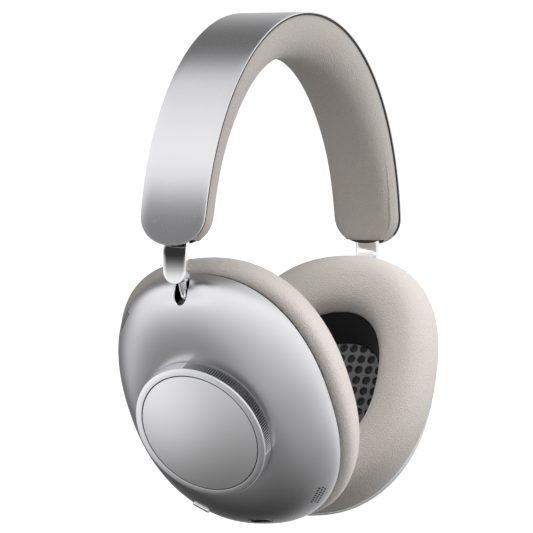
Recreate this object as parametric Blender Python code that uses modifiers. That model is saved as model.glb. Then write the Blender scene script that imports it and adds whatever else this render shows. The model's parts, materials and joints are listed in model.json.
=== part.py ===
"""Over-ear headphones: curved headband, sliding arms, two-axis cup pivots and dials.

Units are metres, +Z is up, X runs ear to ear and -Y is the wearer's front.
The right cup is on the -X side.  The origin is the underside of the headband
pad at the crown, where the headphones rest on a head or a stand.  The right
half is modelled once; the left half is its mirror image in the plane X = 0.
"""
import math

import bmesh
import bpy
from mathutils import Matrix, Vector

# ---------------------------------------------------------------- headband
BAND_HALF_WIDTH = 0.074
BAND_HALF_HEIGHT = 0.093
BAND_EXPONENT = 2.06
BAND_END_HEIGHT = 0.008
CROWN_THICKNESS = 0.017
BAND_END_THICKNESS = 0.0098
STRAP_WIDTH_END = 0.026
STRAP_WIDTH_CROWN = 0.028
STRAP_END_RADIUS = 0.011
PLATE_THICKNESS = 0.0016
TRAY_TOP = 0.0019
CHANNEL_FLOOR = 0.0063
TRAY_BOTTOM = 0.0072
TRAY_INSET = 0.0008
CHANNEL_WIDTH = 0.0202
PAD_TOP = 0.0075
PAD_END_INSET = 0.0022
SPRING_START = 0.058
CABLE_START = 0.016
CABLE_Y = 0.0083
BAND_SCREW_S = 0.0130
BAND_SCREW_Y = 0.0080
BAND_SCREW_SEAT = 0.0066
BAND_CENTRE_Z = CROWN_THICKNESS - BAND_HALF_HEIGHT
GAP = 0.0003

# -------------------------------------------------------------------- arms
# heights are above the band's widest level
ARM_FACE_X = 0.0712
ARM_RADIUS = 0.102
ARM_CENTRE_RISE = 0.004
ARM_WIDTH = 0.0094
ARM_THICKNESS = 0.002
ARM_LOWER_END = -0.0055
ARM_BEND_START = 0.0045
ARM_BEND_END = 0.0080
ARM_UPPER_END = 0.0395
ARM_SLOPE = 0.193
ARM_STOP_HALF_WIDTH = 0.0068
CAP_HEIGHTS = (0.0130, 0.0165)
CAP_WALL = 0.0011
LEAF_HEIGHTS = (0.0185, 0.0300)

# -------------------------------------------------------------------- cups
CUP_TILT = math.radians(27.0)
CUP_CENTRE = Vector((-0.0378, -0.0034, BAND_CENTRE_Z - 0.047))
RIM_HALF_DEPTH = 0.0418
RIM_HALF_HEIGHT = 0.0506
RIM_EXPONENT = 2.3
RIM_LEAN = math.radians(-5.0)
SHELL_THICKNESS = 0.0014
RIM_WALL = 0.0007
SEAT_DEPTH = 0.0128
SEAT_RADIUS = 0.0270
DIAL_Y = 0.0034
DIAL_Z = -0.0034
DOME_EXPONENT = 1.7
SHOULDER_EXPONENT = 1.3
CUSHION_BASE = 0.0016
CUSHION_FACE = 0.0173
CUSHION_GROWTH = 0.0017
EAR_HALF_DEPTH = 0.0212
EAR_HALF_HEIGHT = 0.0286
EAR_Y = -0.0030
EAR_Z = -0.0012

# ------------------------------------------------------------------ pivots
PIVOT = Vector((-0.0626, 0.0, BAND_CENTRE_Z - 0.0135))
POST_LEAN = math.radians(15.0)
POST_RADIUS = 0.0019
SPIGOT_RADIUS = 0.0012
BARREL_RADIUS = 0.0028
TRUNNION_RADIUS = 0.0010
TRUNNION_REACH = 0.0056

# -------------------------------------------------------------------- dial
DIAL_RADIUS = 0.0259
DISC_RADIUS = 0.0231
DIAL_FACE = 0.0183
DIAL_BASE = 0.0131

# ------------------------------------------------------ right-only fittings
BUTTON_ANGLE = math.radians(300)
BUTTON_BLEND = 0.25
BUTTON_HALF = 0.0021
BUTTON_RADIUS = 0.0014
SOCKET_ANGLE = math.radians(268)
SOCKET_BLEND = 0.20

# ---------------------------------------------------------------- meshing
ROUND = 20
RIM_POINTS = 32


# ------------------------------------------------------------ scene helpers
for old in list(bpy.data.objects):
    bpy.data.objects.remove(old, do_unlink=True)

parts = bpy.data.collections.new("over_ear_headphones")
cutters = bpy.data.collections.new("cutters")
bpy.context.scene.collection.children.link(parts)
bpy.context.scene.collection.children.link(cutters)


def material(name, colour, roughness, metallic=0.0):
    mat = bpy.data.materials.new(name)
    mat.use_nodes = True
    shader = mat.node_tree.nodes["Principled BSDF"]
    shader.inputs["Base Color"].default_value = (*colour, 1.0)
    shader.inputs["Roughness"].default_value = roughness
    shader.inputs["Metallic"].default_value = metallic
    return mat


ALUMINIUM = material("satin_aluminium", (0.56, 0.56, 0.57), 0.32, 1.0)
STEEL = material("polished_steel", (0.72, 0.72, 0.73), 0.12, 1.0)
SPRING_STEEL = material("spring_steel", (0.40, 0.40, 0.42), 0.35, 1.0)
LEATHER = material("beige_leather", (0.62, 0.56, 0.51), 0.6)
DARK = material("dark_plastic", (0.03, 0.03, 0.033), 0.5)
GREY = material("grey_plastic", (0.16, 0.16, 0.17), 0.55)
BOARD = material("circuit_board", (0.02, 0.16, 0.08), 0.5)
FILM = material("driver_film", (0.55, 0.50, 0.42), 0.4)
MAGNET = material("magnet", (0.30, 0.30, 0.31), 0.4, 1.0)
CELL = material("battery_wrap", (0.30, 0.32, 0.36), 0.4, 0.3)


def add_object(name, mesh, mat=None, collection=parts):
    obj = bpy.data.objects.new(name, mesh)
    collection.objects.link(obj)
    if mat:
        mesh.materials.clear()
        mesh.materials.append(mat)
    return obj


def from_bmesh(name, bm, mat=None):
    mesh = bpy.data.meshes.new(name)
    bm.to_mesh(mesh)
    bm.free()
    return add_object(name, mesh, mat)


def bake(obj):
    """Replace an object's mesh by its evaluated one, welded, faces out."""
    bpy.context.view_layer.update()
    graph = bpy.context.evaluated_depsgraph_get()
    mesh = bpy.data.meshes.new_from_object(obj.evaluated_get(graph))
    bm = bmesh.new()
    bm.from_mesh(mesh)
    bmesh.ops.remove_doubles(bm, verts=bm.verts, dist=1e-6)
    bmesh.ops.recalc_face_normals(bm, faces=bm.faces)
    bm.to_mesh(mesh)
    bm.free()
    obj.modifiers.clear()
    obj.data = mesh
    return obj


def boolean(obj, other, operation):
    """Cut or join with another object, which becomes a hidden cutter."""
    mod = obj.modifiers.new(operation.lower(), "BOOLEAN")
    mod.operation = operation
    mod.object = other
    bake(obj)
    parts.objects.unlink(other)
    cutters.objects.link(other)
    other.hide_render = True
    other.hide_viewport = True
    other.display_type = "WIRE"
    return obj


def cut(obj, other):
    return boolean(obj, other, "DIFFERENCE")


def join(obj, other):
    return boolean(obj, other, "UNION")


def smooth(obj, angle=35.0):
    obj.data.shade_smooth()
    obj.data.set_sharp_from_angle(angle=math.radians(angle))
    return obj


def bevel(obj, width, segments=2, angle=40.0):
    mod = obj.modifiers.new("bevel", "BEVEL")
    mod.width = width
    mod.segments = segments
    mod.limit_method = "ANGLE"
    mod.angle_limit = math.radians(angle)
    return bake(obj)


def box(name, low, high, mat):
    bm = bmesh.new()
    bmesh.ops.create_cube(bm, size=1.0)
    low, high = Vector(low), Vector(high)
    bmesh.ops.scale(bm, vec=high - low, verts=bm.verts)
    bmesh.ops.translate(bm, vec=(low + high) / 2, verts=bm.verts)
    return from_bmesh(name, bm, mat)


def rod(name, start, end, radius, mat, sides=16):
    """A cylinder between two points."""
    start, end = Vector(start), Vector(end)
    bm = bmesh.new()
    bmesh.ops.create_cone(bm, cap_ends=True, segments=sides, radius1=radius,
                          radius2=radius, depth=(end - start).length)
    turn = (end - start).to_track_quat("Z", "Y").to_matrix().to_4x4()
    bmesh.ops.transform(bm, verts=bm.verts,
                        matrix=Matrix.Translation((start + end) / 2) @ turn)
    return from_bmesh(name, bm, mat)


def turned(name, profile, mat, sides=ROUND, closed=False):
    """Turn (radius, height) points about +Z."""
    bm = bmesh.new()
    verts = [bm.verts.new((radius, 0.0, height)) for radius, height in profile]
    for first, second in zip(verts, verts[1:]):
        bm.edges.new((first, second))
    if closed:
        bm.edges.new((verts[-1], verts[0]))
    obj = from_bmesh(name, bm, mat)
    mod = obj.modifiers.new("screw", "SCREW")
    mod.steps = sides
    mod.render_steps = sides
    mod.use_merge_vertices = True
    mod.merge_threshold = 1e-5
    return smooth(bake(obj))


def outward(obj, y=0.0, z=0.0):
    """Lay a piece turned about +Z onto the cup's outward axis (-X)."""
    turn = Matrix.Rotation(math.radians(-90), 4, "Y")
    obj.data.transform(Matrix.Translation((0.0, y, z)) @ turn)
    return obj


def loft(name, rings, mat, wrap=False):
    """Skin closed rings of equal count; end rings are capped unless wrapped."""
    bm = bmesh.new()
    loops = [[bm.verts.new(point) for point in ring] for ring in rings]
    pairs = list(zip(loops, loops[1:]))
    if wrap:
        pairs.append((loops[-1], loops[0]))
    count = len(loops[0])
    for lower, upper in pairs:
        for i in range(count):
            j = (i + 1) % count
            bm.faces.new((lower[i], lower[j], upper[j], upper[i]))
    if not wrap:
        bm.faces.new(loops[0])
        bm.faces.new(loops[-1])
    return smooth(bake(from_bmesh(name, bm, mat)))


def sheet(name, stations, place, across, thickness, mat):
    """Bend a grid with place(station, q), q from -1 to 1, and thicken it inward."""
    bm = bmesh.new()
    last = len(stations) - 1
    bmesh.ops.create_grid(bm, x_segments=last, y_segments=across, size=1.0)
    for vert in bm.verts:
        index = round((vert.co.x + 1.0) / 2.0 * last)
        vert.co = place(stations[index], vert.co.y)
    obj = from_bmesh(name, bm, mat)
    mod = obj.modifiers.new("solidify", "SOLIDIFY")
    mod.thickness = thickness
    mod.offset = -1.0
    mod.use_even_offset = True
    return smooth(bake(obj))


def outline_plate(name, outlines, x_low, x_high, mat):
    """A flat plate in the cup's rim plane from closed (y, z) outlines."""
    curve = bpy.data.curves.new(name, "CURVE")
    curve.dimensions = "2D"
    curve.fill_mode = "BOTH"
    curve.extrude = (x_high - x_low) / 2
    for outline in outlines:
        spline = curve.splines.new("POLY")
        spline.points.add(len(outline) - 1)
        for point, (y, z) in zip(spline.points, outline):
            point.co = (y, z, 0.0, 1.0)
        spline.use_cyclic_u = True
    guide = bpy.data.objects.new(name + "_outline", curve)
    parts.objects.link(guide)
    bpy.context.view_layer.update()
    graph = bpy.context.evaluated_depsgraph_get()
    mesh = bpy.data.meshes.new_from_object(guide.evaluated_get(graph))
    bpy.data.objects.remove(guide, do_unlink=True)
    # the curve's (x, y, z) are the plate's (y, z, x)
    swap = Matrix(((0, 0, 1, (x_low + x_high) / 2), (1, 0, 0, 0),
                   (0, 1, 0, 0), (0, 0, 0, 1)))
    mesh.transform(swap)
    return bake(add_object(name, mesh, mat))


# ------------------------------------------------------------ headband curve
def band_samples(count=800):
    """Points (x, z, nx, nz, s) of the plate's outer curve, right end to left."""
    low = math.asin((BAND_END_HEIGHT / BAND_HALF_HEIGHT) ** (BAND_EXPONENT / 2))
    samples = []
    length = 0.0
    for i in range(count + 1):
        angle = low + (math.pi - 2 * low) * i / count
        c, s = math.cos(angle), math.sin(angle)
        x = -BAND_HALF_WIDTH * math.copysign(abs(c) ** (2 / BAND_EXPONENT), c)
        z = BAND_HALF_HEIGHT * s ** (2 / BAND_EXPONENT)
        steep = BAND_EXPONENT - 1
        nx = math.copysign((abs(x) / BAND_HALF_WIDTH) ** steep, x) / BAND_HALF_WIDTH
        nz = (z / BAND_HALF_HEIGHT) ** steep / BAND_HALF_HEIGHT
        size = math.hypot(nx, nz)
        if samples:
            length += math.hypot(x - samples[-1][0], z - samples[-1][1])
        samples.append((x, z, nx / size, nz / size, length))
    return samples


BAND = band_samples()
BAND_LENGTH = BAND[-1][4]


def band_point(s, depth, y):
    """The point at arc length s, depth below the outer face and offset y."""
    s = min(max(s, 0.0), BAND_LENGTH)
    low, high = 0, len(BAND) - 1
    while high - low > 1:
        middle = (low + high) // 2
        if BAND[middle][4] <= s:
            low = middle
        else:
            high = middle
    first, second = BAND[low], BAND[high]
    t = (s - first[4]) / (second[4] - first[4])
    x, z, nx, nz = (first[k] * (1 - t) + second[k] * t for k in range(4))
    return Vector((x - nx * depth, y, z - nz * depth + BAND_CENTRE_Z))


def strap_width(s, inset=0.0):
    """Strap width at s, with rounded ends, less an inset all round."""
    swell = math.sin(math.pi * s / BAND_LENGTH)
    full = STRAP_WIDTH_END + (STRAP_WIDTH_CROWN - STRAP_WIDTH_END) * swell
    edge = min(s, BAND_LENGTH - s) - inset
    if edge >= STRAP_END_RADIUS:
        return full - 2 * inset
    round_off = 1 - (1 - max(edge, 0.0) / STRAP_END_RADIUS) ** 2.2
    return (full - 2 * inset) * round_off ** (1 / 2.2)


def strap_stations(inset, count):
    """Arc lengths that crowd together in the rounded ends."""
    tip = [inset + STRAP_END_RADIUS * (1 - math.cos(math.radians(a)))
           for a in (14, 28, 44, 62, 90)]
    start, end = tip[-1], BAND_LENGTH - tip[-1]
    middle = [start + (end - start) * i / count for i in range(1, count)]
    return tip + middle + [BAND_LENGTH - s for s in reversed(tip)]


def strap_sheet(name, stations, width, depth, thickness, mat, across=2, y=0.0):
    def place(s, q):
        return band_point(s, depth, y + q * width(s) / 2)
    return sheet(name, stations, place, across, thickness, mat)


def even(start, end, count):
    return [start + (end - start) * i / count for i in range(count + 1)]


def build_headband():
    plate = strap_sheet("headband_plate", strap_stations(0.0, 26), strap_width,
                        0.0, PLATE_THICKNESS, ALUMINIUM, across=2)
    bevel(plate, 0.0003, segments=1, angle=60)
    smooth(plate)

    tray = strap_sheet("headband_frame", strap_stations(TRAY_INSET, 24),
                       lambda s: strap_width(s, TRAY_INSET),
                       TRAY_TOP, TRAY_BOTTOM - TRAY_TOP, DARK, across=1)
    channel = strap_sheet("channel_cutter",
                          even(0.0, BAND_LENGTH, 24),
                          lambda s: CHANNEL_WIDTH, -0.002,
                          CHANNEL_FLOOR + 0.002, DARK, across=1)
    for end in (0.0, BAND_LENGTH):
        tip = band_point(end, 0.0, 0.0)
        side = math.copysign(1.0, tip.x)
        xs = sorted((tip.x + side * 0.002, tip.x - side * CHANNEL_FLOOR))
        mouth = box("mouth_cutter", (xs[0], -CHANNEL_WIDTH / 2, tip.z - 0.006),
                    (xs[1], CHANNEL_WIDTH / 2, tip.z + 0.0006), DARK)
        cut(tray, mouth)
    cut(tray, channel)

    strap_sheet("headband_spring", even(SPRING_START, BAND_LENGTH - SPRING_START, 16),
                lambda s: 0.012, 0.0022, 0.0008, SPRING_STEEL, across=1)
    strap_sheet("headband_cable", even(CABLE_START, BAND_LENGTH - CABLE_START, 22),
                lambda s: 0.0022, 0.0036, 0.0007, DARK, across=1, y=CABLE_Y)
    build_band_pad()


def pad_thickness(s):
    swell = math.sin(math.pi * s / BAND_LENGTH) ** 1.2
    return BAND_END_THICKNESS + (CROWN_THICKNESS - BAND_END_THICKNESS) * swell


def build_band_pad():
    """The leather pad: a D-shaped section, thick at the crown."""
    start, end = PAD_END_INSET, BAND_LENGTH - PAD_END_INSET
    stations = [start, start + 0.0012, start + 0.0035]
    stations += even(start + 0.008, end - 0.008, 22)
    stations += [end - 0.0035, end - 0.0012, end]
    rings = []
    for s in stations:
        edge = min(s - start, end - s)
        tip = min(1.0, 0.72 + 0.28 * math.sqrt(edge / 0.0035)) if edge < 0.0035 else 1.0
        half = min(strap_width(s, 0.0006), 2 * 0.0135) / 2 * tip
        half = max(half, 0.0085)
        bottom = PAD_TOP + (pad_thickness(s) - PAD_TOP) * (0.6 + 0.4 * tip)
        ring = [band_point(s, PAD_TOP, -half), band_point(s, PAD_TOP, half)]
        for k in range(9):
            angle = math.pi * k / 8
            y = half * math.copysign(abs(math.cos(angle)) ** 0.7, math.cos(angle))
            drop = math.sin(angle) ** 0.7
            shoulder = PAD_TOP + (bottom - PAD_TOP) * 0.35
            ring.append(band_point(s, shoulder + (bottom - shoulder) * drop, y))
        rings.append(ring)
    loft("headband_pad", rings, LEATHER)


# ------------------------------------------------------------ right-hand arm
def arm_curve_x(height):
    """X of the strip's outer face on the gentle arc of its lower end."""
    drop = math.sqrt(ARM_RADIUS ** 2 - (height - ARM_CENTRE_RISE) ** 2)
    return -ARM_FACE_X + ARM_RADIUS - drop


def arm_x(height):
    """X of the strip's outer face: an arc, a short bend, then a straight shank."""
    if height <= ARM_BEND_START:
        return arm_curve_x(height)
    first = (ARM_BEND_START - ARM_CENTRE_RISE) / ARM_RADIUS
    run = ARM_BEND_END - ARM_BEND_START
    into = min(height, ARM_BEND_END) - ARM_BEND_START
    x = arm_curve_x(ARM_BEND_START) + first * into
    x += (ARM_SLOPE - first) * into ** 2 / (2 * run)
    return x + ARM_SLOPE * max(height - ARM_BEND_END, 0.0)


def shank_point(height, depth, y):
    """A point at a height on the straight shank, `depth` in from its outer face."""
    size = math.hypot(1.0, ARM_SLOPE)
    return Vector((arm_x(height) + depth / size, y,
                   BAND_CENTRE_Z + height - depth * ARM_SLOPE / size))


def shank_block(name, heights, half_width, outer, inner, mat):
    """A straight block along the shank between two depths."""
    corners = ((outer, -half_width), (outer, half_width),
               (inner, half_width), (inner, -half_width))
    rings = [[shank_point(h, depth, y) for depth, y in corners] for h in heights]
    return loft(name, rings, mat)


def build_arm():
    tip = ARM_WIDTH / 2
    heights = [ARM_LOWER_END + tip * (1 - math.cos(math.radians(a)))
               for a in (16, 32, 50, 70, 90)]
    heights += even(ARM_LOWER_END + tip, ARM_BEND_START, 3)[1:]
    heights += even(ARM_BEND_START, ARM_BEND_END, 3)[1:]
    heights.append(ARM_UPPER_END)

    def place(height, q):
        into = min((height - ARM_LOWER_END) / tip, 1.0)
        half = tip * math.sqrt(max(1 - (1 - into) ** 2, 0.0))
        return Vector((arm_x(height), q * half, BAND_CENTRE_Z + height))
    arm = sheet("right_arm", heights, place, 1, ARM_THICKNESS, STEEL)
    bevel(arm, 0.00035, segments=1, angle=50)
    smooth(arm)

    # the wider stop above the strip, which meets the end cap when fully out
    shank_block("right_arm_stop", (ARM_UPPER_END + 2 * GAP, ARM_UPPER_END + 0.003),
                ARM_STOP_HALF_WIDTH, 0.0, ARM_THICKNESS, DARK)

    # end cap in the channel's mouth: a U that the strip slides through
    cap = shank_block("right_end_cap", CAP_HEIGHTS, 0.0096, -GAP - CAP_WALL,
                      ARM_THICKNESS + 0.0002, DARK)
    cut(cap, shank_block("cap_slot", (0.006, 0.022), ARM_WIDTH / 2 + 0.0004,
                         -GAP, ARM_THICKNESS + 0.002, DARK))

    # leaf that grips the arm, between the arm's outer face and the plate
    shank_block("right_friction_leaf", LEAF_HEIGHTS, 0.0030, -0.0010, -0.0004,
                SPRING_STEEL)


def post_axis():
    """Unit vector up the post, from the pivot towards the arm."""
    return Vector((-math.sin(POST_LEAN), 0.0, math.cos(POST_LEAN)))


def build_pivot():
    turn = Matrix.Translation(PIVOT) @ Matrix.Rotation(-POST_LEAN, 4, "Y")
    post = turned("right_post", [
        (0.0, 0.0128), (POST_RADIUS, 0.0128), (POST_RADIUS * 0.92, 0.0036),
        (SPIGOT_RADIUS, 0.0036), (SPIGOT_RADIUS, -0.0030), (0.0020, -0.0030),
        (0.0020, -0.0038), (0.0, -0.0038)], STEEL, sides=14)
    post.data.transform(turn)
    lug_x = PIVOT.x + post_axis().x * 0.0105
    lug_z = PIVOT.z + post_axis().z * 0.0105
    lug = box("post_lug", (-ARM_FACE_X + ARM_THICKNESS + 2 * GAP, -0.0022, lug_z - 0.0002),
              (lug_x + 0.0015, 0.0022, lug_z + 0.0034), STEEL)
    bevel(lug, 0.0005, segments=1)
    join(post, lug)
    smooth(post)

    barrel = turned("right_collar", [
        (SPIGOT_RADIUS + GAP, 0.0030), (0.0024, 0.0030), (BARREL_RADIUS, 0.0022),
        (BARREL_RADIUS, -0.0016), (0.0024, -0.0026), (SPIGOT_RADIUS + GAP, -0.0026)],
        DARK, sides=14, closed=True)
    for side in (-1, 1):
        pin = rod("trunnion", (0, side * 0.0022, 0), (0, side * TRUNNION_REACH, 0),
                  TRUNNION_RADIUS, STEEL, sides=12)
        join(barrel, pin)
    barrel.data.transform(turn)
    smooth(barrel)


# --------------------------------------------------------- right-hand cup
# Cup coordinates: +X points at the ear, -X outwards, +Z up in the rim plane.
def cup_matrix():
    return Matrix.Translation(CUP_CENTRE) @ Matrix.Rotation(-CUP_TILT, 4, "Y")


PIVOT_IN_CUP = cup_matrix().inverted() @ PIVOT


def power(value, exponent):
    return math.copysign(abs(value) ** exponent, value)


def oval(angle, half_depth, half_height, y=0.0, z=0.0):
    """(y, z) on a superellipse with the rim's exponent and lean."""
    p = half_depth * power(math.cos(angle), 2 / RIM_EXPONENT)
    q = half_height * power(math.sin(angle), 2 / RIM_EXPONENT)
    c, s = math.cos(RIM_LEAN), math.sin(RIM_LEAN)
    return (y + p * c - q * s, z + p * s + q * c)


def angles(count):
    return [2 * math.pi * i / count for i in range(count)]


def rim(inset, count=RIM_POINTS):
    return [oval(a, RIM_HALF_DEPTH - inset, RIM_HALF_HEIGHT - inset) for a in angles(count)]


def circle(radius, y, z, count=ROUND):
    return [(y + radius * math.cos(a), z + radius * math.sin(a)) for a in angles(count)]


def dome_point(angle, blend):
    """A point of the shell's outer face, from the rim (0) to the dial seat (1)."""
    p = DOME_EXPONENT + SHOULDER_EXPONENT * max(math.sin(angle), 0.0) ** 6
    depth = RIM_WALL + (SEAT_DEPTH - RIM_WALL) * (1 - (1 - blend) ** p) ** (1 / p)
    y0, z0 = oval(angle, RIM_HALF_DEPTH, RIM_HALF_HEIGHT)
    y1 = DIAL_Y + SEAT_RADIUS * math.cos(angle)
    z1 = DIAL_Z + SEAT_RADIUS * math.sin(angle)
    return Vector((-depth, y0 + (y1 - y0) * blend, z0 + (z1 - z0) * blend))


def build_shell():
    rings = [[Vector((0.0, y, z)) for y, z in rim(0.0)]]
    for blend in (0.0, 0.012, 0.05, 0.12, 0.23, 0.40, 0.65, 1.0):
        rings.append([dome_point(a, blend) for a in angles(RIM_POINTS)])
    rings.append([Vector((-SEAT_DEPTH, y, z))
                  for y, z in circle(0.0045, DIAL_Y, DIAL_Z, RIM_POINTS)])
    bm = bmesh.new()
    loops = [[bm.verts.new(point) for point in ring] for ring in rings]
    for lower, upper in zip(loops, loops[1:]):
        for i in range(RIM_POINTS):
            j = (i + 1) % RIM_POINTS
            bm.faces.new((lower[j], lower[i], upper[i], upper[j]))
    bm.normal_update()
    if sum(face.normal.x for face in bm.faces) > 0:
        bmesh.ops.reverse_faces(bm, faces=bm.faces)
    shell = from_bmesh("right_shell", bm, ALUMINIUM)
    mod = shell.modifiers.new("solidify", "SOLIDIFY")
    mod.thickness = SHELL_THICKNESS
    mod.offset = -1.0
    mod.use_even_offset = True
    bake(shell)
    cut(shell, pivot_slot())
    return smooth(shell, 30)


def pivot_slot():
    """Rounded slot through the shoulder, along the post's sweep."""
    long_way = Vector((0.92, 0.0, 0.39)).normalized()
    out = Vector((-long_way.z, 0.0, long_way.x))
    centre = Vector((-0.0068, PIVOT_IN_CUP.y, 0.0467))
    half, radius = 0.0018, 0.0030
    bm = bmesh.new()
    outline = []
    for k in range(10):
        a = math.pi * k / 9 - math.pi / 2
        outline.append((half + radius * math.cos(a), radius * math.sin(a)))
    for k in range(10):
        a = math.pi * k / 9 + math.pi / 2
        outline.append((-half + radius * math.cos(a), radius * math.sin(a)))
    loops = []
    for reach in (-0.0062, 0.009):
        loops.append([bm.verts.new(centre + out * reach + long_way * u + Vector((0, v, 0)))
                      for u, v in outline])
    count = len(outline)
    for i in range(count):
        j = (i + 1) % count
        bm.faces.new((loops[0][i], loops[0][j], loops[1][j], loops[1][i]))
    bm.faces.new(loops[0])
    bm.faces.new(loops[1])
    return bake(from_bmesh("pivot_slot", bm, DARK))


def ring_screw_spots():
    return [oval(math.radians(a), RIM_HALF_DEPTH - 0.0058, RIM_HALF_HEIGHT - 0.0058)
            for a in (60, 180, 300)]


def build_cup_inside():
    baffle = outline_plate("right_baffle",
                           [rim(0.0031), circle(0.0206, DIAL_Y, DIAL_Z + 0.003)],
                           -0.0026, -0.0002, DARK)
    for y, z in ring_screw_spots():
        join(baffle, rod("boss", (-0.0038, y, z), (-0.0010, y, z), 0.0018, DARK, 10))
        cut(baffle, rod("boss_hole", (-0.0034, y, z), (0.001, y, z), 0.0011, DARK, 10))
    ring = outline_plate("right_cushion_ring",
                         [rim(0.0008), [oval(a, 0.0270, 0.0345) for a in angles(RIM_POINTS)]],
                         0.0002, 0.0013, DARK)
    for i, (y, z) in enumerate(ring_screw_spots(), start=1):
        cut(ring, rod("ring_hole", (-0.001, y, z), (0.003, y, z), 0.0020, DARK, 10))
        screw = turned("right_ring_screw_%d" % i,
                       [(0.0, 0.0031), (0.0008, 0.0031), (0.0008, 0.0001),
                        (0.0016, 0.0001), (0.0016, -0.0012), (0.0, -0.0012)],
                       STEEL, sides=8)
        outward(screw, y, z)

    driver_z = DIAL_Z + 0.003
    driver = turned("right_driver", [
        (0.0, 0.0086), (0.0120, 0.0086), (0.0120, 0.0052), (0.0190, 0.0042),
        (0.0202, 0.0030), (0.0202, 0.0001), (0.0225, 0.0001), (0.0225, -0.0011),
        (0.0196, -0.0011), (0.0196, 0.0014), (0.0112, 0.0014), (0.0112, 0.0046),
        (0.0092, 0.0046), (0.0092, 0.0014), (0.0, 0.0014)], MAGNET)
    outward(driver, DIAL_Y, driver_z)
    diaphragm = turned("right_diaphragm", [
        (0.0, -0.0009), (0.0098, 0.0000), (0.0145, -0.0005),
        (0.0190, -0.0002), (0.0190, 0.0001), (0.0145, -0.0001), (0.0106, 0.0004),
        (0.0106, 0.0030), (0.0099, 0.0030), (0.0099, 0.0004),
        (0.0, -0.0005)], FILM)
    outward(diaphragm, DIAL_Y, driver_z)

    build_grille()
    build_bracket()


def build_grille():
    """Coarse perforated cover over the driver."""
    outline = [oval(a, 0.0244, 0.0318, EAR_Y * 0.5, EAR_Z * 0.5) for a in angles(RIM_POINTS)]
    pitch = 0.0115
    holes = []
    for row in range(-3, 4):
        for column in range(-2, 3):
            y, z = column * pitch, row * pitch
            if (y / 0.0200) ** 2 + (z / 0.0270) ** 2 < 1.0:
                holes.append(circle(0.0038, y + EAR_Y * 0.5, z + EAR_Z * 0.5, 6))
    outline_plate("right_grille", [outline] + holes, 0.0014, 0.0021, GREY)


def build_cushion():
    """Ear cushion: a fat oval ring round the ear opening."""
    rings = []
    for angle in angles(RIM_POINTS):
        outer = Vector(oval(angle, RIM_HALF_DEPTH + CUSHION_GROWTH,
                            RIM_HALF_HEIGHT + CUSHION_GROWTH))
        inner = Vector(oval(angle, EAR_HALF_DEPTH, EAR_HALF_HEIGHT, EAR_Y, EAR_Z))
        centre = (outer + inner) / 2
        reach = (outer - inner) / 2
        middle = (CUSHION_BASE + CUSHION_FACE) / 2 + 0.0002
        ring = []
        for k in range(10):
            turn = 2 * math.pi * k / 10
            x = middle + (CUSHION_FACE - CUSHION_BASE) / 2 * power(math.sin(turn), 0.86)
            side = power(math.cos(turn), 0.86)
            taper = 1.0 - 10.0 * max(x - 0.006, 0.0) if side > 0 else 1.0
            y, z = centre + reach * side * taper
            ring.append(Vector((x, y, z)))
        rings.append(ring)
    return loft("right_cushion", rings, LEATHER, wrap=True)


def build_bracket():
    """Two ears with bores for the trunnions, joined by a foot below the collar."""
    px, py, pz = PIVOT_IN_CUP
    inner, outer = 0.0036, 0.0056
    foot = pz - 0.0066
    bracket = box("right_pivot_bracket", (px - 0.0017, py - outer, foot),
                  (-0.0030, py + outer, foot + 0.0016), DARK)
    for side in (-1, 1):
        ys = sorted((py + side * inner, py + side * outer))
        ear = box("ear", (px - 0.0017, ys[0], foot + 0.0004),
                  (-0.0034, ys[1], pz + 0.0018), DARK)
        join(bracket, ear)
        bore = rod("bore", (px, ys[0] - 0.001, pz), (px, ys[1] + 0.001, pz),
                   TRUNNION_RADIUS + GAP, DARK, 14)
        cut(bracket, bore)


# ------------------------------------------------------------- dial and disc
def build_dial():
    bearing = turned("right_dial_bearing", [
        (0.0, DIAL_BASE + 0.0008), (0.0080, DIAL_BASE + 0.0008), (0.0080, 0.0156),
        (0.0100, 0.0156), (0.0100, DIAL_BASE + 0.0008), (0.0200, DIAL_BASE + 0.0008),
        (0.0200, DIAL_BASE), (0.0, DIAL_BASE)], DARK)
    dial = turned("right_dial", [
        (DISC_RADIUS + GAP, DIAL_FACE), (DIAL_RADIUS - 0.0004, DIAL_FACE),
        (DIAL_RADIUS, DIAL_FACE - 0.0004), (DIAL_RADIUS, DIAL_BASE + 0.0003),
        (DIAL_RADIUS - 0.0003, DIAL_BASE), (0.0220, DIAL_BASE),
        (0.0220, 0.0143), (0.0104, 0.0143), (0.0104, 0.0153),
        (DISC_RADIUS + GAP, 0.0153)], ALUMINIUM, sides=32, closed=True)
    disc = turned("right_disc", [
        (0.0, DIAL_FACE), (DISC_RADIUS - 0.0002, DIAL_FACE),
        (DISC_RADIUS, DIAL_FACE - 0.0002), (DISC_RADIUS, 0.0171),
        (0.0030, 0.0171), (0.0030, 0.0155), (0.0, 0.0155)], ALUMINIUM, sides=32)
    switch = turned("right_dome_switch", [
        (0.0, 0.0148), (0.0025, 0.0146), (0.0035, 0.0142), (0.0, 0.0142)],
        STEEL, sides=16)
    for obj in (bearing, dial, disc, switch):
        outward(obj)


# ----------------------------------------------------- right-only fittings
def capsule(name, centre, long_way, out, half, radius, low, high, mat, sides=7):
    """A stadium-shaped key or slot, standing along `out`."""
    side_way = out.cross(long_way).normalized()
    outline = []
    for sign in (1, -1):
        for k in range(sides):
            a = math.pi * k / (sides - 1) - math.pi / 2
            outline.append((sign * (half + radius * math.cos(a)),
                            sign * radius * math.sin(a)))
    bm = bmesh.new()
    loops = [[bm.verts.new(centre + out * reach + long_way * u + side_way * v)
              for u, v in outline] for reach in (low, high)]
    count = len(outline)
    for i in range(count):
        j = (i + 1) % count
        bm.faces.new((loops[0][i], loops[0][j], loops[1][j], loops[1][i]))
    bm.faces.new(loops[0])
    bm.faces.new(loops[1])
    return bake(from_bmesh(name, bm, mat))


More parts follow.
